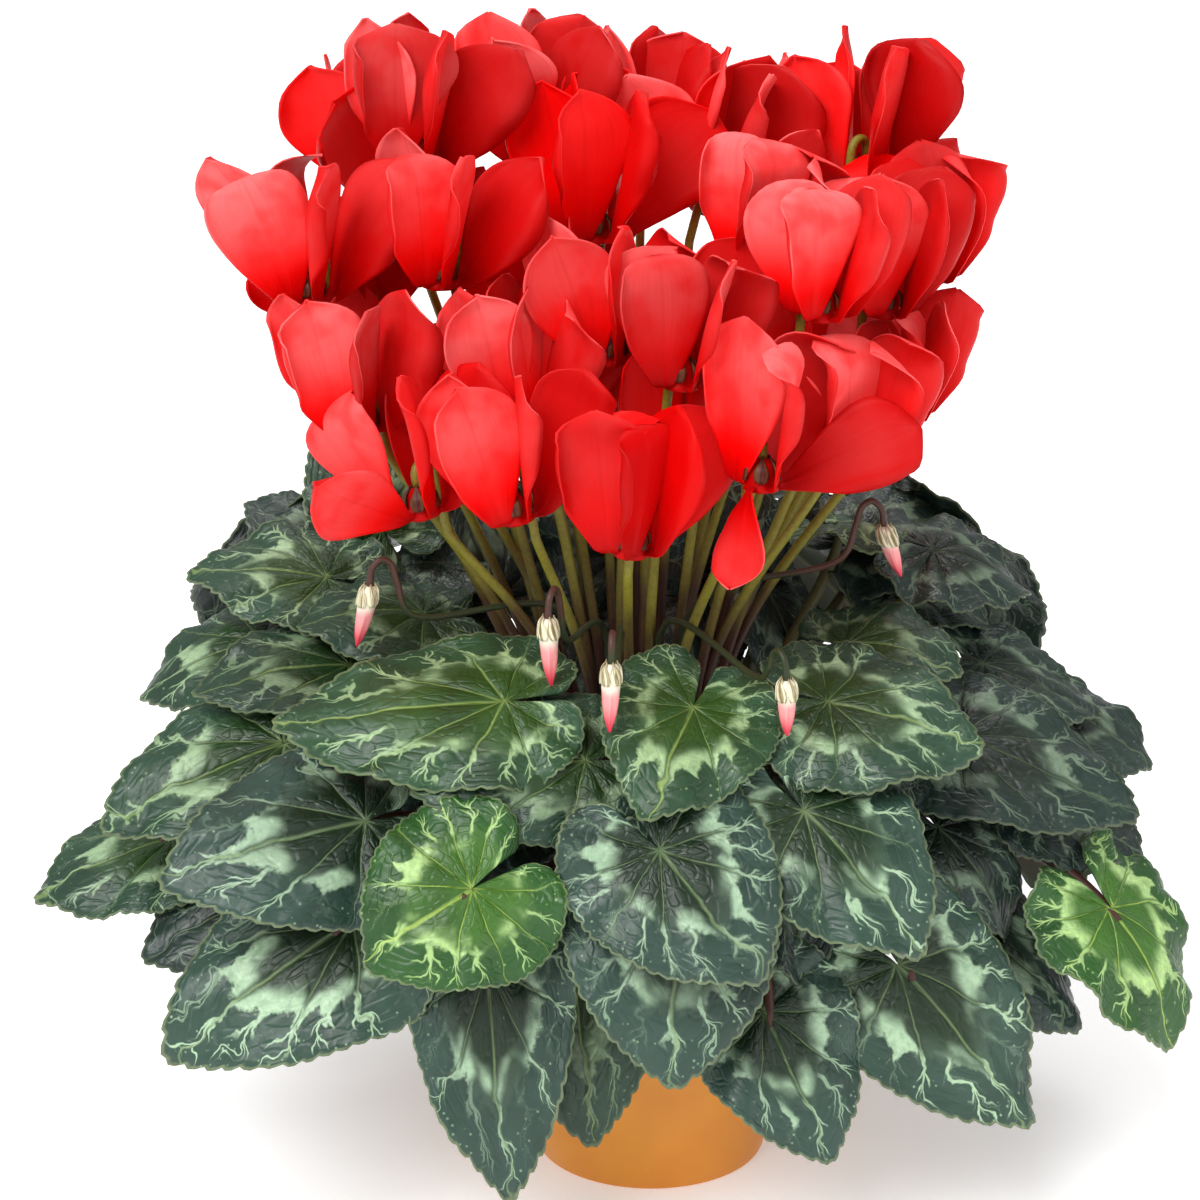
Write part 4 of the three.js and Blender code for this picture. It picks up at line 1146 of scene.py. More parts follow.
    def petal_piece(self, petal: Petal, finishes: Finishes) -> bpy.types.Object:
        """Makes one petal: a pointed oval, waved and rolled at its edge, and perhaps turned at its tip."""
        piece, across, along = Bench.sheet("petal", self.across_petal, self.along_petal)
        across = 2.0 * across - 1.0
        across = np.sign(across) * np.abs(across) ** 0.85
        along = along ** 0.92
        oval = chance(petal.key + 5500)
        knots, narrow, broad = columns(self.outlines)
        half = smooth_knots(along, knots, narrow * (1 - oval) + broad * oval) / 2.0
        half = half * (1.0 + self.uneven * (chance(petal.key + 8000) - 0.5) * np.sign(across))
        if self.nose[1] > self.fuller_behind:
            half = half * (1.0 + self.fuller * smoothstep(0.4, 0.7, along))
        body = np.sin(math.pi * np.clip(along * 1.05, 0, 1))
        side = np.where(across < 0, 1.0, -0.5)
        cup = (0.8 + 2.8 * chance(petal.key + 3000)) * body * side * across ** 2
        wave = np.sin(8.0 * along + 6.3 * chance(petal.key + 2500) + 1.3 * side) * np.abs(across) ** 3 * along
        tip = self.tip_turn * (chance(petal.key + 3500) - 0.5) * smoothstep(0.68, 1.0, along) ** 1.5
        groove = self.groove * np.exp(-(across / 0.1) ** 2) * (1.1 - along)
        lift = cup + (0.85 + 0.35 * side) * wave + tip - groove
        lift = lift + petal.curl * along * (across ** 2 - np.abs(across))
        reach, off = self.roll_edge(petal, along, half, across)
        bent, turned = self.turn_tip(petal, along)
        sway = self.sway * (chance(petal.key + 8500) - 0.5) * along ** 2
        Bench.shape(piece, self.surface(petal, bent, half, reach, lift + off + turned, sway))
        Bench.dress(piece, finishes.petal, finishes.petal_back)
        Bench.thicken(piece, self.thickness, 1)
        # The petal's share of pale pink: partly its own tint, partly painted sheen
        pale = np.clip(self.blush_and_sheen * 1.2 + 0.8 * (chance(petal.key + 4000) - 0.6), 0.0, 1.0)
        # The petal's share of crimson: partly random tone, partly painted shade
        deep = max(chance(petal.key + 4500) - 0.38 - 0.35 * self.blush_and_sheen, 0.0) * 1.7
        Bench.paint(piece, "tone", (pale, deep, chance(petal.key + 5000)))
        return piece

    def roll_edge(self, petal: Petal, along: Array, half: Array, across: Array) -> tuple[Array, Array]:
        """Rolls a petal's edges: the outer one outwards and the inner one inwards.

        Args:
            petal: The petal.
            along: The share of its length at each point.
            half: Half of its width there.
            across: The point's place across it, from -1 to 1.

        Returns:
            The place across it and the height off it, once rolled.
        """
        lean = np.where(across < 0, 0.4 + 0.6 * chance(petal.key + 6000), 0.6 * chance(petal.key + 6500))
        flat = 1.0 - self.rolled * lean * smoothstep(0.15, 0.5, along) * (1 - smoothstep(0.8, 1.0, along))
        width = np.maximum(self.petal_width * self.scale * petal.size * half, 0.01)
        angle = np.maximum(np.abs(across) - flat, 0.0) * width / self.roll_radius
        reach = np.minimum(np.abs(across), flat) * width + self.roll_radius * np.sin(angle)
        return np.sign(across) * reach / width, -np.sign(across) * self.roll_radius * (1 - np.cos(angle))

    def turn_tip(self, petal: Petal, along: Array) -> tuple[Array, Array]:
        """Turns the tip of some petals over.

        Args:
            petal: The petal.
            along: The share of its length at each point.

        Returns:
            The share of the length that each point reaches, and its height off the petal.
        """
        loose = petal.splay > self.loose_from
        if loose or chance(petal.key + 7500) > self.turned_share or self.nose[2] > self.turned_below:
            return along, np.zeros_like(along)
        length = self.petal_length * self.scale * petal.size
        bend = np.maximum(along - self.turned_from, 0.0) * length / self.turned_radius
        share = np.minimum(along, self.turned_from) + self.turned_radius * np.sin(bend) / length
        return share, -self.turned_radius * (1 - np.cos(bend))

    def tube_piece(self, finishes: Finishes) -> bpy.types.Object:
        """Makes the short tube, open at its mouth like a shallow cup, with its rolled lip."""
        last = len(self.tube_rings) - 1
        piece, across, along = Bench.sheet("corolla_tube", 20, last)
        row = np.rint(along * last).astype(int)
        radius, height = (column[row] for column in columns(self.tube_rings))
        turn = 2 * math.pi * across
        radius = self.tube_radius * radius * (1 + 0.05 * np.cos(5 * turn))
        Bench.shape(piece, self.place(turn, radius, height))
        Bench.close(piece)
        Bench.dress(piece, finishes.petal)
        # The tube takes the crimson in full, partly painted shade
        Bench.paint(piece, "tone", (0.0, 1.0, 0.5))
        return piece

    def sepal_piece(self, k: int, finishes: Finishes) -> bpy.types.Object:
        """Makes one of the sepals that clasp the tube's top."""
        piece, across, along = Bench.sheet("sepal", 6, 8)
        across = 2.0 * across - 1.0
        half = 2.1 * np.sin(math.pi * (0.12 + 0.88 * (1 - along)) ** 0.8) + 0.15
        turn = 2 * math.pi * k / self.sepals + across * half / 5.2
        radius = 2.2 + 3.4 * smoothstep(0.0, 0.6, along) + 0.5 * along
        Bench.shape(piece, self.place(turn, radius, 10.6 - 8.0 * along))
        Bench.dress(piece, finishes.calyx)
        Bench.thicken(piece, self.sepal_thickness)
        return piece

    def build(self, finishes: Finishes) -> None:
        """Makes the whole bloom as one piece and dresses it."""
        name = f"bloom_{self.number:02d}"
        corners = node_corners(name)
        pieces = []
        for petal in self.petals():
            petal = self.settle(petal, corners)
            if petal.splay > self.hanging_from:
                petal.twist -= self.hanging_twist
            pieces.append(self.petal_piece(petal, finishes))
        pieces.append(self.tube_piece(finishes))
        pieces.extend(self.sepal_piece(k, finishes) for k in range(self.sepals))
        piece = Bench.join(f"cyclamen_{name}", pieces)
        Bench.soften(piece)
        Bench.finish(piece, Slot.PETAL, name)


@dataclass
class FlowerStems:
    """The bare stems that carry the blooms, hooked over at the top."""

    radius: float = 1.7
    thick_foot: float = 1.08
    thin_hook: float = 0.86
    root_rise: float = 6.0
    root_share: float = 0.36
    hook_reach: float = 8.2
    hook_height: float = 12.0
    hook_rise: float = 4.2
    beside_drop: float = 10.0
    straight: tuple[float, ...] = (-6.0, -2.0, 2.0, 6.0, 9.5)
    gap: float = 0.3
    steps: int = 36
    sides: int = 10

    def path(self, bloom: Bloom, tuber: Tuber) -> Array:
        """Lists the points of a bloom's stem, from the tuber to the calyx."""
        opening = Opening()
        gate = (bloom.nose - opening.place) * opening.share * LEVEL
        gate = gate / max(math.hypot(gate[0] / opening.wide, gate[1] / opening.deep), 1.0)
        root = tuber.above(self.root_rise) + gate * self.root_share
        beside = bloom.place(0.0, self.hook_reach, -self.beside_drop)
        rise = curve_through([root, opening.place + gate, beside], self.steps)
        straight = [bloom.place(0.0, self.hook_reach, height) for height in self.straight]
        half = self.hook_reach / 2
        arc = [bloom.place(0.0, half + half * math.cos(a), self.hook_height + self.hook_rise * math.sin(a))
               for a in np.linspace(0.0, math.pi, 9)]
        return np.array([*rise, *straight, *arc, bloom.place(0.0, 0.0, bloom.tube_height + self.gap)])

    def build(self, blooms: list[Bloom], tuber: Tuber, finishes: Finishes) -> None:
        """Makes every flower stem, thinner towards its hook."""
        stems = []
        for bloom in blooms:
            path = self.path(bloom, tuber)
            taper = np.linspace(self.thick_foot, self.thin_hook, len(path)) * self.radius
            stems.append(Bench.tube("flower_stem", path, taper, self.sides, finishes.flower_stem))
        Bench.finish(Bench.join("flower_stems", stems), Slot.STEM, "crown")


@dataclass
class Bud:
    """A pointed bud that hangs from its hooked stem."""

    number: int
    top: Array
    length: float
    dip: float
    lean: float
    rings: tuple[tuple[float, float], ...] = (
        (0.0, 1.4), (0.05, 2.4), (0.13, 2.9), (0.24, 3.1), (0.34, 3.0), (0.55, 2.5), (0.8, 1.6), (1.0, 0.25))
    stretch: float = 1.08
    twist: float = 1.2
    sepals: int = 5
    sepal_length: float = 7.5
    sepal_rise: float = 0.6
    sepal_thickness: float = 0.35
    stem_radius: float = 1.1
    stem_swell: float = 0.25
    gate_rise: float = 12.0
    gate_out: float = 22.0
    root_out: float = 10.0
    root_rise: float = 6.0
    behind: float = 14.0
    hook: tuple[tuple[float, float], ...] = ((9.0, 1.0), (7.5, 6.0), (4.5, 8.0), (1.2, 5.5), (0.0, -3.0))
    steps: int = 30

    def outward(self) -> Array:
        """Gives the level direction from the opening to the bud."""
        return unit((self.top - Opening().place) * LEVEL)

    def near(self, back: float, rise: float) -> Array:
        """Gives a place back from the bud's top towards the opening, and above it."""
        return self.top + UP * rise - self.outward() * back

    def below(self, turn: Array, radius: Array, down: Array, share: Array) -> Array:
        """Gives places about the bud's middle line, which leans further with its share of the length."""
        points = self.top + np.column_stack([radius * np.cos(turn), radius * np.sin(turn), -down])
        points[:, 0] += self.lean * share ** 1.3
        return points

    def stem_path(self, tuber: Tuber) -> Array:
        """Lists the points of the bud's stem, from the tuber over its hook to the calyx."""
        away = self.outward()
        gate = Opening().place + UP * self.gate_rise + away * self.gate_out
        root = tuber.above(self.root_rise) + away * self.root_out
        hook = [self.near(back, rise) for back, rise in self.hook]
        rise = curve_through([root, gate, self.near(self.behind, -self.dip), hook[0]], self.steps)
        turn = curve_through([rise[-2], *hook], 24)
        return np.array([*rise, *turn[5:]])

    def body(self, finishes: Finishes) -> bpy.types.Object:
        """Makes the bud's rolled petals and cup as one pointed, twisted form."""
        piece, across, along = Bench.sheet("rolled_petals", 30, 34)
        turn = 2 * math.pi * across
        radius = smooth_knots(along, *columns(self.rings)) * np.sqrt(np.clip(along / 0.04, 0.0, 1.0))
        radius = np.where(along > 0.999, 0.0, radius)
        radius = radius * (1 + 0.1 * np.cos(5 * turn + 9.0 * along) * smoothstep(0.36, 0.6, along))
        down = self.length * self.stretch * along
        Bench.shape(piece, self.below(turn + self.twist * along, radius, down, along))
        Bench.close(piece)
        Bench.dress(piece, finishes.bud)
        return piece

    def sepal(self, k: int, finishes: Finishes) -> bpy.types.Object:
        """Makes one pointed sepal that clasps the bud's cup."""
        piece, across, along = Bench.sheet("bud_sepal", 6, 10)
        across = 2.0 * across - 1.0
        half = 2.2 * np.sin(math.pi * (0.2 + 0.8 * (1 - along)) ** 0.9) + 0.12
        turn = 2 * math.pi * k / self.sepals + across * half / 3.8 + 0.4 * along
        down = self.sepal_length * along - self.sepal_rise
        share = np.maximum(down, 0.0) / (self.length * self.stretch)
        radius = smooth_knots(share, *columns(self.rings)) + 0.3 + 0.2 * (1 - across ** 2)
        Bench.shape(piece, self.below(turn, radius, down, share))
        Bench.dress(piece, finishes.bud_calyx)
        Bench.thicken(piece, self.sepal_thickness)
        return piece

    def build(self, tuber: Tuber, finishes: Finishes) -> None:
        """Makes the bud with its calyx and its hooked stem."""
        path = self.stem_path(tuber)
        swell = 1.0 + self.stem_swell * smoothstep(0.93, 1.0, np.linspace(0.0, 1.0, len(path)))
        stem = Bench.tube("bud_stem", path, self.stem_radius * swell, 10, finishes.bud_stem)
        sepals = [self.sepal(k, finishes) for k in range(self.sepals)]
        piece = Bench.join(f"bud_{self.number}", [self.body(finishes), stem, *sepals])
        Bench.soften(piece)
        Bench.finish(piece, Slot.STEM, "crown")


@dataclass
class Leaf:
    """One marbled heart-shaped leaf: its blade by rule, and how it was lifted over those below."""

    name: str
    index: int
    stalk: Array
    tip: Array
    width: float
    roll: float
    heart: Array
    tone: Tone
    outline: tuple[tuple[float, float], ...] = (
        (0, 74), (15, 65), (30, 59), (50, 54), (70, 51), (90, 50), (110, 48), (130, 45), (150, 41),
        (162, 36), (172, 26), (180, 8))
    outer_angles: tuple[float, ...] = (0, 28, 58, 90, 120, 144, 163)
    inner_angles: tuple[float, ...] = (0, 58, 120, 163)
    inner_reach: float = 0.55
    notch_reach: float = 0.95
    lobe_growth: float = 0.1
    corner_slip: float = 0.75
    lift_range: tuple[float, float] = (-1.2, 70.0)
    thickness: float = 0.7
    across_blade: int = 160
    along_blade: int = 13
    teeth: float = 27.0
    quilt: float = 1.2
    fine_ruffle: float = 0.5
    stalk_radius: float = 2.0
    packed_stalk_radius: float = 2.2
    stalk_seat: float = 0.1
    over_rim: float = 128.0
    swings: tuple[float, ...] = (0.0, 0.15, -0.15, 0.3, -0.3)
    rises: tuple[float, ...] = (1.0, 0.8, 1.2, 0.6)
    backs: tuple[float, ...] = (0.33, 0.2, 0.45)

    def __post_init__(self) -> None:
        """Works out the blade's axes and its own measures."""
        along = self.tip - self.stalk
        self.length = float(np.linalg.norm(along))
        self.along = along / self.length
        outward = unit((self.stalk + self.tip) / 2 - self.heart)
        outward = unit(outward - self.along * (outward @ self.along))
        roll = self.roll * DEGREE
        self.outward = outward * math.cos(roll) + np.cross(self.along, outward) * math.sin(roll)
        self.across = np.cross(self.along, self.outward)
        self.arch = 3 + 3 * chance(self.index)
        self.sag = 3 + 4 * chance(self.index + 100)
        self.ripple = 1 + 1.2 * chance(self.index + 200)
        self.waves = 4 + math.floor(3 * chance(self.index + 300))
        self.phase = 6 * chance(self.index + 400)
        self.curl = 3.2 * chance(self.index + 500) - 0.9
        self.ruffle = 0.8 + 1.5 * chance(self.index + 600)

    def reach(self, angle: Array) -> Array:
        """Gives how far the blade reaches at an angle from its tip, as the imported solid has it."""
        return np.interp(np.abs(angle), *columns(self.outline)) / 100.0

    def fine_reach(self, angle: Array) -> Array:
        """Gives the blade's reach along a smooth outline, with full lobes beside the stalk."""
        lobes = 1.0 + self.lobe_growth * smoothstep(100.0, 150.0, np.abs(angle))
        return smooth_knots(np.abs(angle), *columns(self.outline)) * lobes / 100.0

    def surface(self, angle: Array, share: Array, reach: Array, lift: Array | float = 0.0) -> Array:
        """Places points of the blade before it is lifted over others.

        Args:
            angle: Degrees from the tip.
            share: The share of the way out to the edge.
            reach: The blade's reach at that angle.
            lift: How far the point stands off the blade's middle surface.

        Returns:
            The points.
        """
        run = reach * self.width * share
        side = run * np.sin(angle * DEGREE)
        stretch = np.where(np.abs(angle) < 90, self.length / (0.74 * self.width), 1.0)
        forward = run * np.cos(angle * DEGREE) * stretch
        down = forward / self.length
        arch = np.where(down < 0, 4 * down / (1 - 4 * np.minimum(down, 0.0)), 4 * down * (1 - down))
        fold = 2 * np.abs(side) / self.width
        wave = np.sin(self.waves * angle * DEGREE + self.phase) * share ** 2
        height = self.arch * arch - self.sag * fold ** 2 + self.ripple * wave + lift
        return (self.stalk + self.across * side[..., None] + self.along * forward[..., None]
                + self.outward * height[..., None])

    def packed_corners(self) -> tuple[Array, Array]:
        """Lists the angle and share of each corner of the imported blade: its root, inner ring and edge."""
        sides = (self.inner_angles, self.outer_angles)
        inner, outer = ([*(-a for a in angles[:0:-1]), *angles] for angles in sides)
        shares = [0.0, *([self.inner_reach] * len(inner)),
                  *(1.0 if i % 2 else self.notch_reach for i in range(len(outer)))]
        return np.array([0.0, *inner, *outer]), np.array(shares)

    def find_lifts(self, corners: Array | None = None) -> None:
        """Finds how far each corner of the blade was lifted.

        Args:
            corners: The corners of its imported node, or nothing for a blade that lies free.
        """
        angle, share = self.packed_corners()
        self.corners = self.surface(angle, share, self.reach(angle))
        self.lifts = np.zeros(len(angle))
        if corners is None:
            return
        sight = self.corners - self.heart
        distance = np.linalg.norm(sight, axis=-1)
        way = sight / distance[:, None]
        seen = corners - self.heart
        along = way @ seen.T
        off = np.sqrt(np.maximum((seen ** 2).sum(-1)[None] - along ** 2, 0.0))
        lift = along - distance[:, None]
        lowest, highest = self.lift_range
        off = np.where((off < self.corner_slip) & (lift > lowest) & (lift < highest), off, np.inf)
        best = off.argmin(-1)[:, None]
        known = np.isfinite(np.take_along_axis(off, best, -1))[:, 0]
        found = np.take_along_axis(lift, best, -1)[:, 0]
        if known.any():
            apart = np.linalg.norm(self.corners[:, None] - self.corners[None], axis=-1)
            near = (apart + np.where(known, 0.0, 1e6)).argmin(-1)
            self.lifts = np.where(known, found, found[near])
        self.corners = self.corners + way * self.lifts[:, None]

    def lift_at(self, angle: Array, share: Array) -> Array:
        """Spreads the found lifts smoothly over the blade."""
        inner = 2 * len(self.inner_angles) - 1
        angles, _ = self.packed_corners()
        root, ring, edge = self.lifts[0], self.lifts[1:1 + inner], self.lifts[1 + inner:]
        at_ring = np.interp(angle, angles[1:1 + inner], ring)
        at_edge = np.interp(angle, angles[1 + inner:], edge)
        part = np.clip(share / self.inner_reach, 0.0, 1.0)
        rest = np.clip((share - self.inner_reach) / (1 - self.inner_reach), 0.0, 1.0)
        return root + (at_ring - root) * part + (at_edge - at_ring) * rest

    @staticmethod
    def relax(values: Array, rounds: int = 14, far: int = 5) -> Array:
        """Smooths a grid of values over its neighbours, those across the blade from further away."""
        for _ in range(rounds):
            padded = np.pad(values, ((1, 1), (far, far)), mode="edge")
            middle = padded[:, far:-far]
            sideways = (padded[1:-1, :-2 * far] + padded[1:-1, 2 * far:] + 2 * middle[1:-1]) / 4
            values = (sideways * 2 + middle[:-2] + middle[2:]) / 4
        return values

    def blade(self, finishes: Finishes) -> bpy.types.Object:
        """Makes the blade: quilted between its veins, waved and finely toothed at its edge."""
        piece, across, along = Bench.sheet("blade", self.across_blade, self.along_blade)
        angle = (2 * across - 1) * BLADE_TURN
        share = along ** 0.8
        grid = (self.along_blade + 1, self.across_blade + 1)
        lifts = self.relax(self.lift_at(angle, share).reshape(grid)).ravel()
        turn = angle * DEGREE
        tooth = np.abs(np.sin(self.teeth * turn + 0.4 * np.sin(5 * turn)))
        notch = 0.985 + (0.03 * tooth - 0.018) * share ** 12
        vein = np.abs((angle / VEIN_STEP + 0.5) % 1.0 - 0.5) * 2
        height = self.quilt * (np.sin(vein * math.pi / 2) ** 0.8 - 0.55)
        height = height * np.sin(math.pi * np.clip(share * 1.02, 0, 1)) ** 0.8
        height += self.ruffle * np.sin(9 * turn + 2 * self.phase) * share ** 5
        height += self.fine_ruffle * np.sin(23 * turn + 5 * self.phase) * share ** 6
        height += self.curl * share ** 6
        points = self.surface(angle, share, self.fine_reach(angle) * notch, height)
        points += unit(points - self.heart) * lifts[:, None]
        Bench.shape(piece, points)
        Bench.weld(piece)
        Bench.dress(piece, finishes.leaf, finishes.under)
        Bench.thicken(piece, self.thickness, 0 if self.tone is Tone.DARK else 1)
        Bench.paint(piece, "tone", self.tone.value)
        Bench.paint(piece, "seed", [chance(self.index + 700)] * 3)
        return piece

    def stalk_ways(self, foot: Array) -> list[list[Array]]:
        """Lists the ways for the stalk to run, each as the four corners of its curve."""
        tipward = len(self.inner_angles)
        root, left, middle, right = (self.corners[i] for i in (0, tipward - 1, tipward, tipward + 1))
        end = root + (middle - root) * self.stalk_seat / self.inner_reach
        arrival = unit(np.cross(right - root, left - root))
        sideways = unit(left - right)
        span = float(np.linalg.norm(end - foot))
        climb = max(0.4 * span, 44 - 0.2 * (end[2] - foot[2]))
        ways = []
        for swing, rise, back in product(self.swings, self.rises, self.backs):
            high = end - arrival * back * span + sideways * swing * span
            high[2] = max(high[2], self.over_rim)
            ways.append([foot, foot + UP * rise * climb, high, end])
        return ways

    def petiole(self, foot: Array, corners: Array, finishes: Finishes) -> bpy.types.Object:
        """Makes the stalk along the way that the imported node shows."""
        ways = self.stalk_ways(foot)
        inner = np.array([bezier(way, 4)[1:-1] for way in ways])
        gaps = np.abs(nearest_gap(inner, corners) - self.packed_stalk_radius).mean(-1)
        path = bezier(ways[int(gaps.argmin())], 26)
        taper = self.stalk_radius * (1.05 - 0.35 * smoothstep(0.8, 1.0, np.linspace(0, 1, len(path))))
        return Bench.tube("petiole", path, taper, 10, finishes.leaf_stalk)


@dataclass
class Foliage:
    """The mound of leaves, laid from the lowest to the highest, in sprays of two."""

    front_heart: Place = (-12.0, 90.0, 30.0)
    back_heart: Place = (-12.0, -70.0, 40.0)
    mound_middle: float = -12.0
    back_tones: tuple[Tone, ...] = (Tone.GREEN, Tone.GREY, Tone.FRESH, Tone.DARK)
    foot_ring: float = 36.0
    foot_radius: float = 3.0
    foot_taper: tuple[float, ...] = (0.8, 1.0, 1.0, 0.7)
    foot_top: float = 104.0
    foot_grip: float = 4.0
    foot_depth: float = 6.0
    soil_top: float = 99.0
    per_spray: int = 2

    def leaves(self) -> list[Leaf]:
        """Lists every leaf: those of the table and those of the back, which stand in rings by rule."""
        listed = [
            Leaf(name, i, np.array(stalk, float), np.array(tip, float), width, 0.0,
                 np.array(self.front_heart), tone)
            for i, (name, stalk, tip, width, tone) in enumerate(LEAVES)
        ]
        for level, (count, start, end, stalk, tip, width) in enumerate(BACK_RINGS):
            for i in range(count):
                turn = (start + (end - start) * i / (count - 1)) * DEGREE
                swing = turn + 0.2 * (chance(31 * level + i) - 0.5)
                places = [
                    np.array([self.mound_middle + radius * math.cos(way), radius * math.sin(way), height])
                    for (radius, height), way in ((stalk, turn), (tip, swing))
                ]
                tone = self.back_tones[(3 * level + i) % len(self.back_tones)]
                listed.append(Leaf(f"back_{level + 1}_{i + 1}", len(listed), *places, width,
                                   10 * (chance(17 * level + i) - 0.5), np.array(self.back_heart), tone))
        return listed

    def build(self, tuber: Tuber, finishes: Finishes) -> None:
        """Makes each spray, from the leaves that stand next to each other round the tuber."""
        def turn(leaf: Leaf) -> float:
            """Gives a leaf's direction from the tuber."""
            return math.atan2(leaf.stalk[1] - tuber.y, leaf.stalk[0] - tuber.x)

        ordered = sorted(self.leaves(), key=turn)
        sprays = [ordered[i:i + self.per_spray] for i in range(0, len(ordered), self.per_spray)]
        for i, spray in enumerate(sprays):
            even = turn(ordered[0]) + 2 * math.pi * (i + 0.3) / len(sprays)
            foot = np.array([tuber.x + self.foot_ring * math.cos(even),
                             tuber.y + self.foot_ring * math.sin(even), self.foot_top - self.foot_grip])
            self.spray(i + 1, spray, foot, finishes)

    def spray(self, number: int, leaves: list[Leaf], foot: Array, finishes: Finishes) -> None:
        """Makes one spray: its foot in the soil, and the stalk and blade of each of its leaves."""
        name = f"leaves_{number:02d}"
        corners = node_corners(name)
        pieces = []
        for leaf in leaves:
            leaf.find_lifts(corners)
            pieces.append(leaf.blade(finishes))
            pieces.append(leaf.petiole(foot, corners, finishes))
        heights = (self.soil_top - self.foot_depth, self.soil_top, foot[2], self.foot_top)
        path = np.array([[foot[0], foot[1], height] for height in heights])
        radii = self.foot_radius * np.array(self.foot_taper)
        pieces.append(Bench.tube("spray_foot", path, radii, 12, finishes.leaf_stalk))
        piece = Bench.join(f"cyclamen_{name}", pieces)
        Bench.soften(piece)
        Bench.finish(piece, Slot.LEAF, name)
        log.info("%s holds the leaves %s", piece.name, " and ".join(leaf.name for leaf in leaves))


@dataclass
class InnerLeaves:
    """The small leaves deep between the stalks, darkened with painted shade, which close the view through the
    plant.
    """

    heart: Place = (-12.0, 90.0, 30.0)
    seat: float = 20.0
    first: int = 80
    stalk_radius: float = 1.6
    rise: float = 20.0
    drop: float = 22.0

    def build(self, tuber: Tuber, finishes: Finishes) -> None:
        """Makes the leaves, each on its own short stalk."""
        pieces = []
        middle = tuber.above(tuber.height / 2)
        for i, (stalk, tip, width) in enumerate(INNER_LEAVES):
            leaf = Leaf(f"inner_{i + 1}", self.first + i, np.array(stalk, float), np.array(tip, float),
                        width, 0.0, np.array(self.heart), Tone.DARK)
            leaf.find_lifts()
            pieces.append(leaf.blade(finishes))
            foot = middle + unit((leaf.stalk - middle) * LEVEL) * self.seat
            corners = [foot, foot + UP * self.rise, leaf.stalk - UP * self.drop, leaf.stalk - UP * 0.5]
            pieces.append(Bench.tube("inner_petiole", bezier(corners, 16), self.stalk_radius, 8,
                                     finishes.leaf_stalk))
        piece = Bench.join("inner_leaves", pieces)
        Bench.soften(piece)
        Bench.finish(piece, Slot.LEAF)


# Small leaves deep in the crown: stalk end, tip and width
INNER_LEAVES = [
    ((-24, 46, 174), (-27, 28, 138), 44),
    ((40, 43, 188), (53, 24, 150), 44),
    ((13, 47, 184), (19, 29, 150), 42),
    ((86, 44, 188), (118, 36, 172), 46),
    ((40, -58, 128), (48, -76, 90), 40),
    ((38, -32, 158), (50, -50, 134), 32),
    ((-72, 46, 196), (-96, 44, 186), 40),
    ((-74, -26, 160), (-104, -30, 118), 50),
    ((-78, 18, 166), (-108, 20, 124), 50),
    ((-66, -8, 132), (-92, -12, 92), 44),
    ((-66, 42, 136), (-90, 50, 94), 46),
    ((-64, -4, 114), (-92, -2, 68), 50),
    ((58, 4, 116), (88, 8, 70), 50),
    ((60, 30, 132), (88, 36, 88), 46),
]

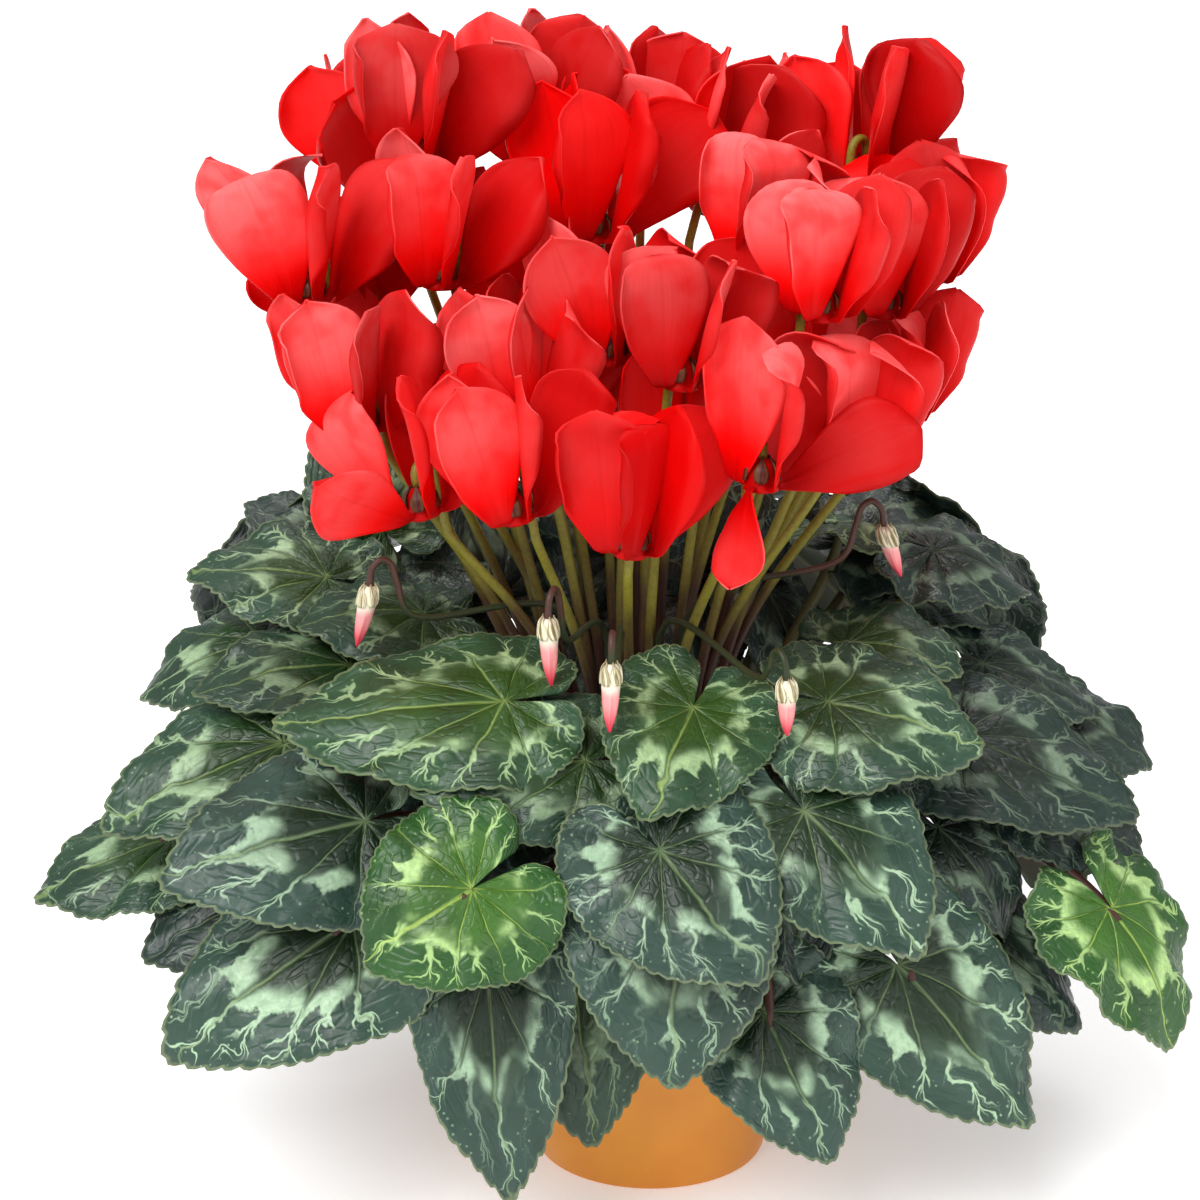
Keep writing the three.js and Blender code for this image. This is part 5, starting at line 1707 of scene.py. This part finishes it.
# Leaves seen from the front and sides, the lowest layer first: stalk end, tip, width and tone
# Blades of the DARK tone carry painted shade: they lie at the back, on the right and deep in the mound.
LEAVES = [
    ("rear_left", (-52, 46, 184), (-70, 60, 222), 50, Tone.DARK),
    ("rear_right", (24, 51, 188), (36, 65, 226), 50, Tone.DARK),
    ("apron_mid", (-26, -72, 105), (-20, -81, 36), 58, Tone.OLIVE),
    ("dark_low_left", (-124, -40, 112), (-168, -50, 88), 54, Tone.DARK),
    ("dark_right_low", (102, -40, 102), (142, -48, 62), 52, Tone.DARK),
    ("fill_right", (94, -36, 132), (118, -44, 94), 50, Tone.DARK),
    ("dark_left", (-130, -4, 186), (-172, -8, 166), 54, Tone.GREEN),
    ("dark_back_left", (-110, 58, 196), (-143, 70, 210), 50, Tone.DARK),
    ("under_dark", (-52, -67, 150), (-71, -78, 122), 48, Tone.DARK),
    ("dark_right", (124, -6, 131), (168, -12, 110), 54, Tone.DARK),
    ("edge_right", (136, 16, 156), (172, 18, 130), 50, Tone.DARK),
    ("back_mid", (-12, 50, 189), (-6, 67, 224), 54, Tone.DARK),
    ("back_right", (72, 54, 202), (110, 80, 200), 52, Tone.DARK),
    ("skirt_right", (72, -60, 94), (120, -74, 42), 62, Tone.SILVER),
    ("apron_right", (35, -84, 88), (57, -98, 40), 56, Tone.GREY),
    ("apron_left", (-53, -89, 107), (-46, -105, 29), 57, Tone.GREY),
    ("skirt_left", (-94, -70, 113), (-160, -84, 70), 72, Tone.SILVER),
    ("wing_left", (-158, -20, 121), (-206, -32, 101), 56, Tone.GREEN),
    ("back_left", (-86, 46, 196), (-114, 56, 227), 54, Tone.GREEN),
    ("light_back", (60, 44, 204), (78, 14, 206), 44, Tone.FRESH),
    ("ridge_right", (112, 12, 172), (152, 8, 152), 50, Tone.DARK),
    ("silver_right", (100, -22, 158), (161, -34, 132), 60, Tone.DARK),
    ("apron_centre", (5, -94, 130), (6, -110, 72), 72, Tone.GREY),
    ("face_right", (47, -80, 156), (85, -100, 113), 66, Tone.SILVER),
    ("shoulder_left", (-120, -42, 164), (-181, -54, 138), 58, Tone.GREEN),
    ("olive_left", (-100, -18, 182), (-152, -32, 176), 50, Tone.OLIVE),
    ("top_left", (-108, 12, 201), (-157, 12, 202), 52, Tone.GREEN),
    ("crest_right", (88, 30, 196), (126, 32, 184), 50, Tone.DARK),
    ("mid_right", (64, -14, 188), (102, -28, 182), 50, Tone.OLIVE),
    ("young_right", (136, -26, 97), (164, -40, 54), 56, Tone.YOUNG),
    ("face_left", (-92, -74, 150), (-158, -94, 137), 68, Tone.GREY),
    ("under_long", (-22, -74, 170), (-79, -85, 164), 54, Tone.OLIVE),
    ("bud_leaf", (-76, -6, 196), (-118, -20, 194), 50, Tone.OLIVE),
    ("broad_right", (53, -48, 177), (106, -62, 168), 62, Tone.GREEN),
    ("long_left", (-45, -54, 176), (-120, -64, 174), 58, Tone.FRESH),
    ("young_left", (-55, -96, 135), (-89, -109, 114), 60, Tone.YOUNG),
    ("face_centre", (1, -98, 150), (34, -116, 112), 68, Tone.GREY),
    ("heart_centre", (12, -62, 184), (-4, -98, 158), 58, Tone.FRESH),
]

# Rings of leaves at the back: count, first and last direction, stalk end, tip and width
BACK_RINGS = [
    (6, 14, 172, (92, 104), (112, 50), 60),
    (5, 34, 146, (98, 148), (132, 106), 62),
    (3, 60, 130, (78, 184), (122, 166), 56),
]

# Blooms: place of the nose, lean and its direction, opening, size in percent, and how pale it is, partly its
# own tint and partly painted sheen
BLOOMS = [
    (-40, 62, 334, 6, 0, 9, 98, 0.8),
    (-78, 30, 338, 4, 0, 8, 98, 0.7),
    (-90, 64, 324, 12, 180, 10, 94, 0.4),
    (-112, 6, 300, 5, 180, 11, 104, 0.8),
    (-70, 4, 306, 4, 0, 9, 98, 0.6),
    (-20, 26, 316, 4, 0, 11, 104, 0.25),
    (-2, 72, 330, 6, 0, 7, 92, 0.5),
    (18, 46, 321, 14, 0, 9, 106, 0.7),
    (32, 6, 310, 16, 0, 9, 96, 0.9),
    (50, 78, 320, 8, 0, 10, 90, 0.3),
    (70, 44, 330, 4, 0, 10, 100, 0.35),
    (92, 36, 300, 4, 0, 8, 96, 0.2),
    (74, -2, 298, 5, 0, 9, 96, 0.35),
    (52, -30, 304, 4, 0, 9, 92, 0.9),
    (-46, 40, 290, 4, 0, 9, 92, 0.3),
    (-14, -2, 282, 4, 180, 10, 98, 0.6),
    (8, -32, 282, 4, 0, 9, 96, 0.55),
    (-42, -14, 264, 6, 180, 9, 92, 0.9),
    (-94, -16, 262, 9, 180, 10, 96, 0.8),
    (-74, -34, 240, 12, 180, 10, 96, 0.55),
    (-68, 18, 246, 4, 180, 9, 92, 0.1),
    (-44, -46, 242, 10, 180, 10, 98, 0.6),
    (4, 8, 246, 4, 0, 9, 92, 0.1),
    (-8, -62, 236, 4, 0, 9, 98, 0.3),
    (33, -56, 256, 2, 0, 9, 106, 0.8),
    (38, 26, 262, 4, 0, 9, 92, 0.2),
    (61, -26, 255, 6, 0, 9, 94, 0.9),
    (72, 52, 246, 6, 0, 9, 94, 0.2),
    (82, 8, 260, 2, 0, 8, 86, 0.9),
    (-96, 34, 282, 8, 180, 10, 92, 0.2),
    (-34, 22, 258, 4, 0, 9, 90, 0.1),
]

# Petals that stand off from their bloom: the bloom and petal, with the petal's opening and size
LOOSE_PETALS = {(20, 3): (52.0, 0.86), (25, 2): (160.0, 0.6), (25, 4): (62.0, 0.86)}

# Buds: place of the bud's top, length, how far the stem climbs into the hook, and the tip's lean
BUDS = [
    (-92, -34, 216, 20, 12, -4.5),
    (-34, -60, 214, 22, 12, 1.0),
    (-14, -80, 206, 22, 12, -0.5),
    (41, -76, 199, 18, 4, 0.5),
    (76, -8, 228, 17, 12, 6.0),
]


@dataclass
class Studio:
    """The pale floor, the soft lights and the camera at the photograph's angle."""

    target: Place = (-17.5, 0.0, 199.0)
    distance: float = 1200.0
    elevation: float = 19.0
    lens: float = 108.0
    sensor: float = 36.0
    farthest: float = 20000.0
    floor_size: float = 6000.0
    floor_colour: Colour = rgb(250, 250, 250)
    floor_glow: float = 0.3
    room_light: float = 0.48
    sun_from: Place = (-900.0, -1300.0, 1600.0)
    sun_power: float = 2.75
    softness: float = 40.0

    def add_floor(self) -> None:
        """Lays the floor under the pot."""
        floor = Bench.start("studio_floor", bpy.ops.mesh.primitive_plane_add,
                            size=self.floor_size * MM, location=(0.0, 0.0, -0.0002))
        paint = Shader("studio_floor_paint")
        paint.set(Base_Color=self.floor_colour, Roughness=0.9, Specular_IOR_Level=0.1)
        paint.set(Emission_Color=self.floor_colour, Emission_Strength=self.floor_glow)
        Bench.dress(floor, paint.material)

    def add_light(self, name: str, place: Place, size: float, power: float) -> None:
        """Adds a soft square light that faces the plant.

        Args:
            name: The light's name.
            place: Its place in millimetres.
            size: The length of its side in millimetres.
            power: Its power in watts.
        """
        light = bpy.data.lights.new(name, "AREA")
        light.size = size * MM
        light.energy = power
        lamp = Bench.stand(name, light)
        lamp.location = Vector(place) * MM
        lamp.rotation_euler = (Vector(self.target) - Vector(place)).to_track_quat("-Z", "Y").to_euler()

    def add_sun(self) -> None:
        """Adds a broad, distant light that falls evenly on the plant and the floor."""
        light = bpy.data.lights.new("broad_light", "SUN")
        light.angle = self.softness * DEGREE
        light.energy = self.sun_power
        lamp = Bench.stand("broad_light", light)
        lamp.rotation_euler = Vector(self.sun_from).to_track_quat("Z", "Y").to_euler()

    def add_world(self) -> None:
        """Surrounds the plant with even white light."""
        world = bpy.data.worlds.new("white_room")
        world.use_nodes = True
        background = world.node_tree.nodes["Background"].inputs
        background["Color"].default_value = (1.0, 1.0, 1.0, 1.0)
        background["Strength"].default_value = self.room_light
        bpy.context.scene.world = world

    def add_camera(self) -> None:
        """Sets up the camera."""
        camera = bpy.data.cameras.new("photo_camera")
        camera.lens = self.lens
        camera.sensor_width = self.sensor
        camera.clip_end = self.farthest * MM
        rig = Bench.stand("photo_camera", camera)
        tilt = self.elevation * DEGREE
        way = Vector((0.0, -math.cos(tilt), math.sin(tilt)))
        rig.location = (Vector(self.target) + way * self.distance) * MM
        rig.rotation_euler = (-way).to_track_quat("-Z", "Y").to_euler()
        bpy.context.scene.camera = rig

    def build(self) -> None:
        """Sets the whole stage."""
        self.add_floor()
        self.add_world()
        self.add_sun()
        self.add_light("fill_light", (1500.0, -900.0, 700.0), 1200.0, 6.0)
        self.add_light("top_light", (200.0, 700.0, 1700.0), 900.0, 10.0)
        bpy.context.scene.view_settings.view_transform = "Standard"
        self.add_camera()
        log.info("studio ready")


def main() -> None:
    """Builds the plant from the pot up and reports each piece."""
    logging.basicConfig(level=logging.INFO, format="%(message)s")
    Studio().build()
    finishes = Finishes()
    pot = Pot()
    pot.build(finishes)
    Soil().build(pot, finishes)
    tuber = Tuber()
    tuber.build(finishes)
    blooms = [Bloom(i + 1, np.array([x, y, z], float), lean, lean_to, opened, percent / 100.0, blush_and_sheen)
              for i, (x, y, z, lean, lean_to, opened, percent, blush_and_sheen) in enumerate(BLOOMS)]
    FlowerStems().build(blooms, tuber, finishes)
    for i, (x, y, z, length, dip, lean) in enumerate(BUDS):
        Bud(i + 1, np.array([x, y, z], float), length, dip, lean).build(tuber, finishes)
    for bloom in blooms:
        bloom.build(finishes)
    Foliage().build(tuber, finishes)
    InnerLeaves().build(tuber, finishes)


if __name__ == "__main__":
    main()
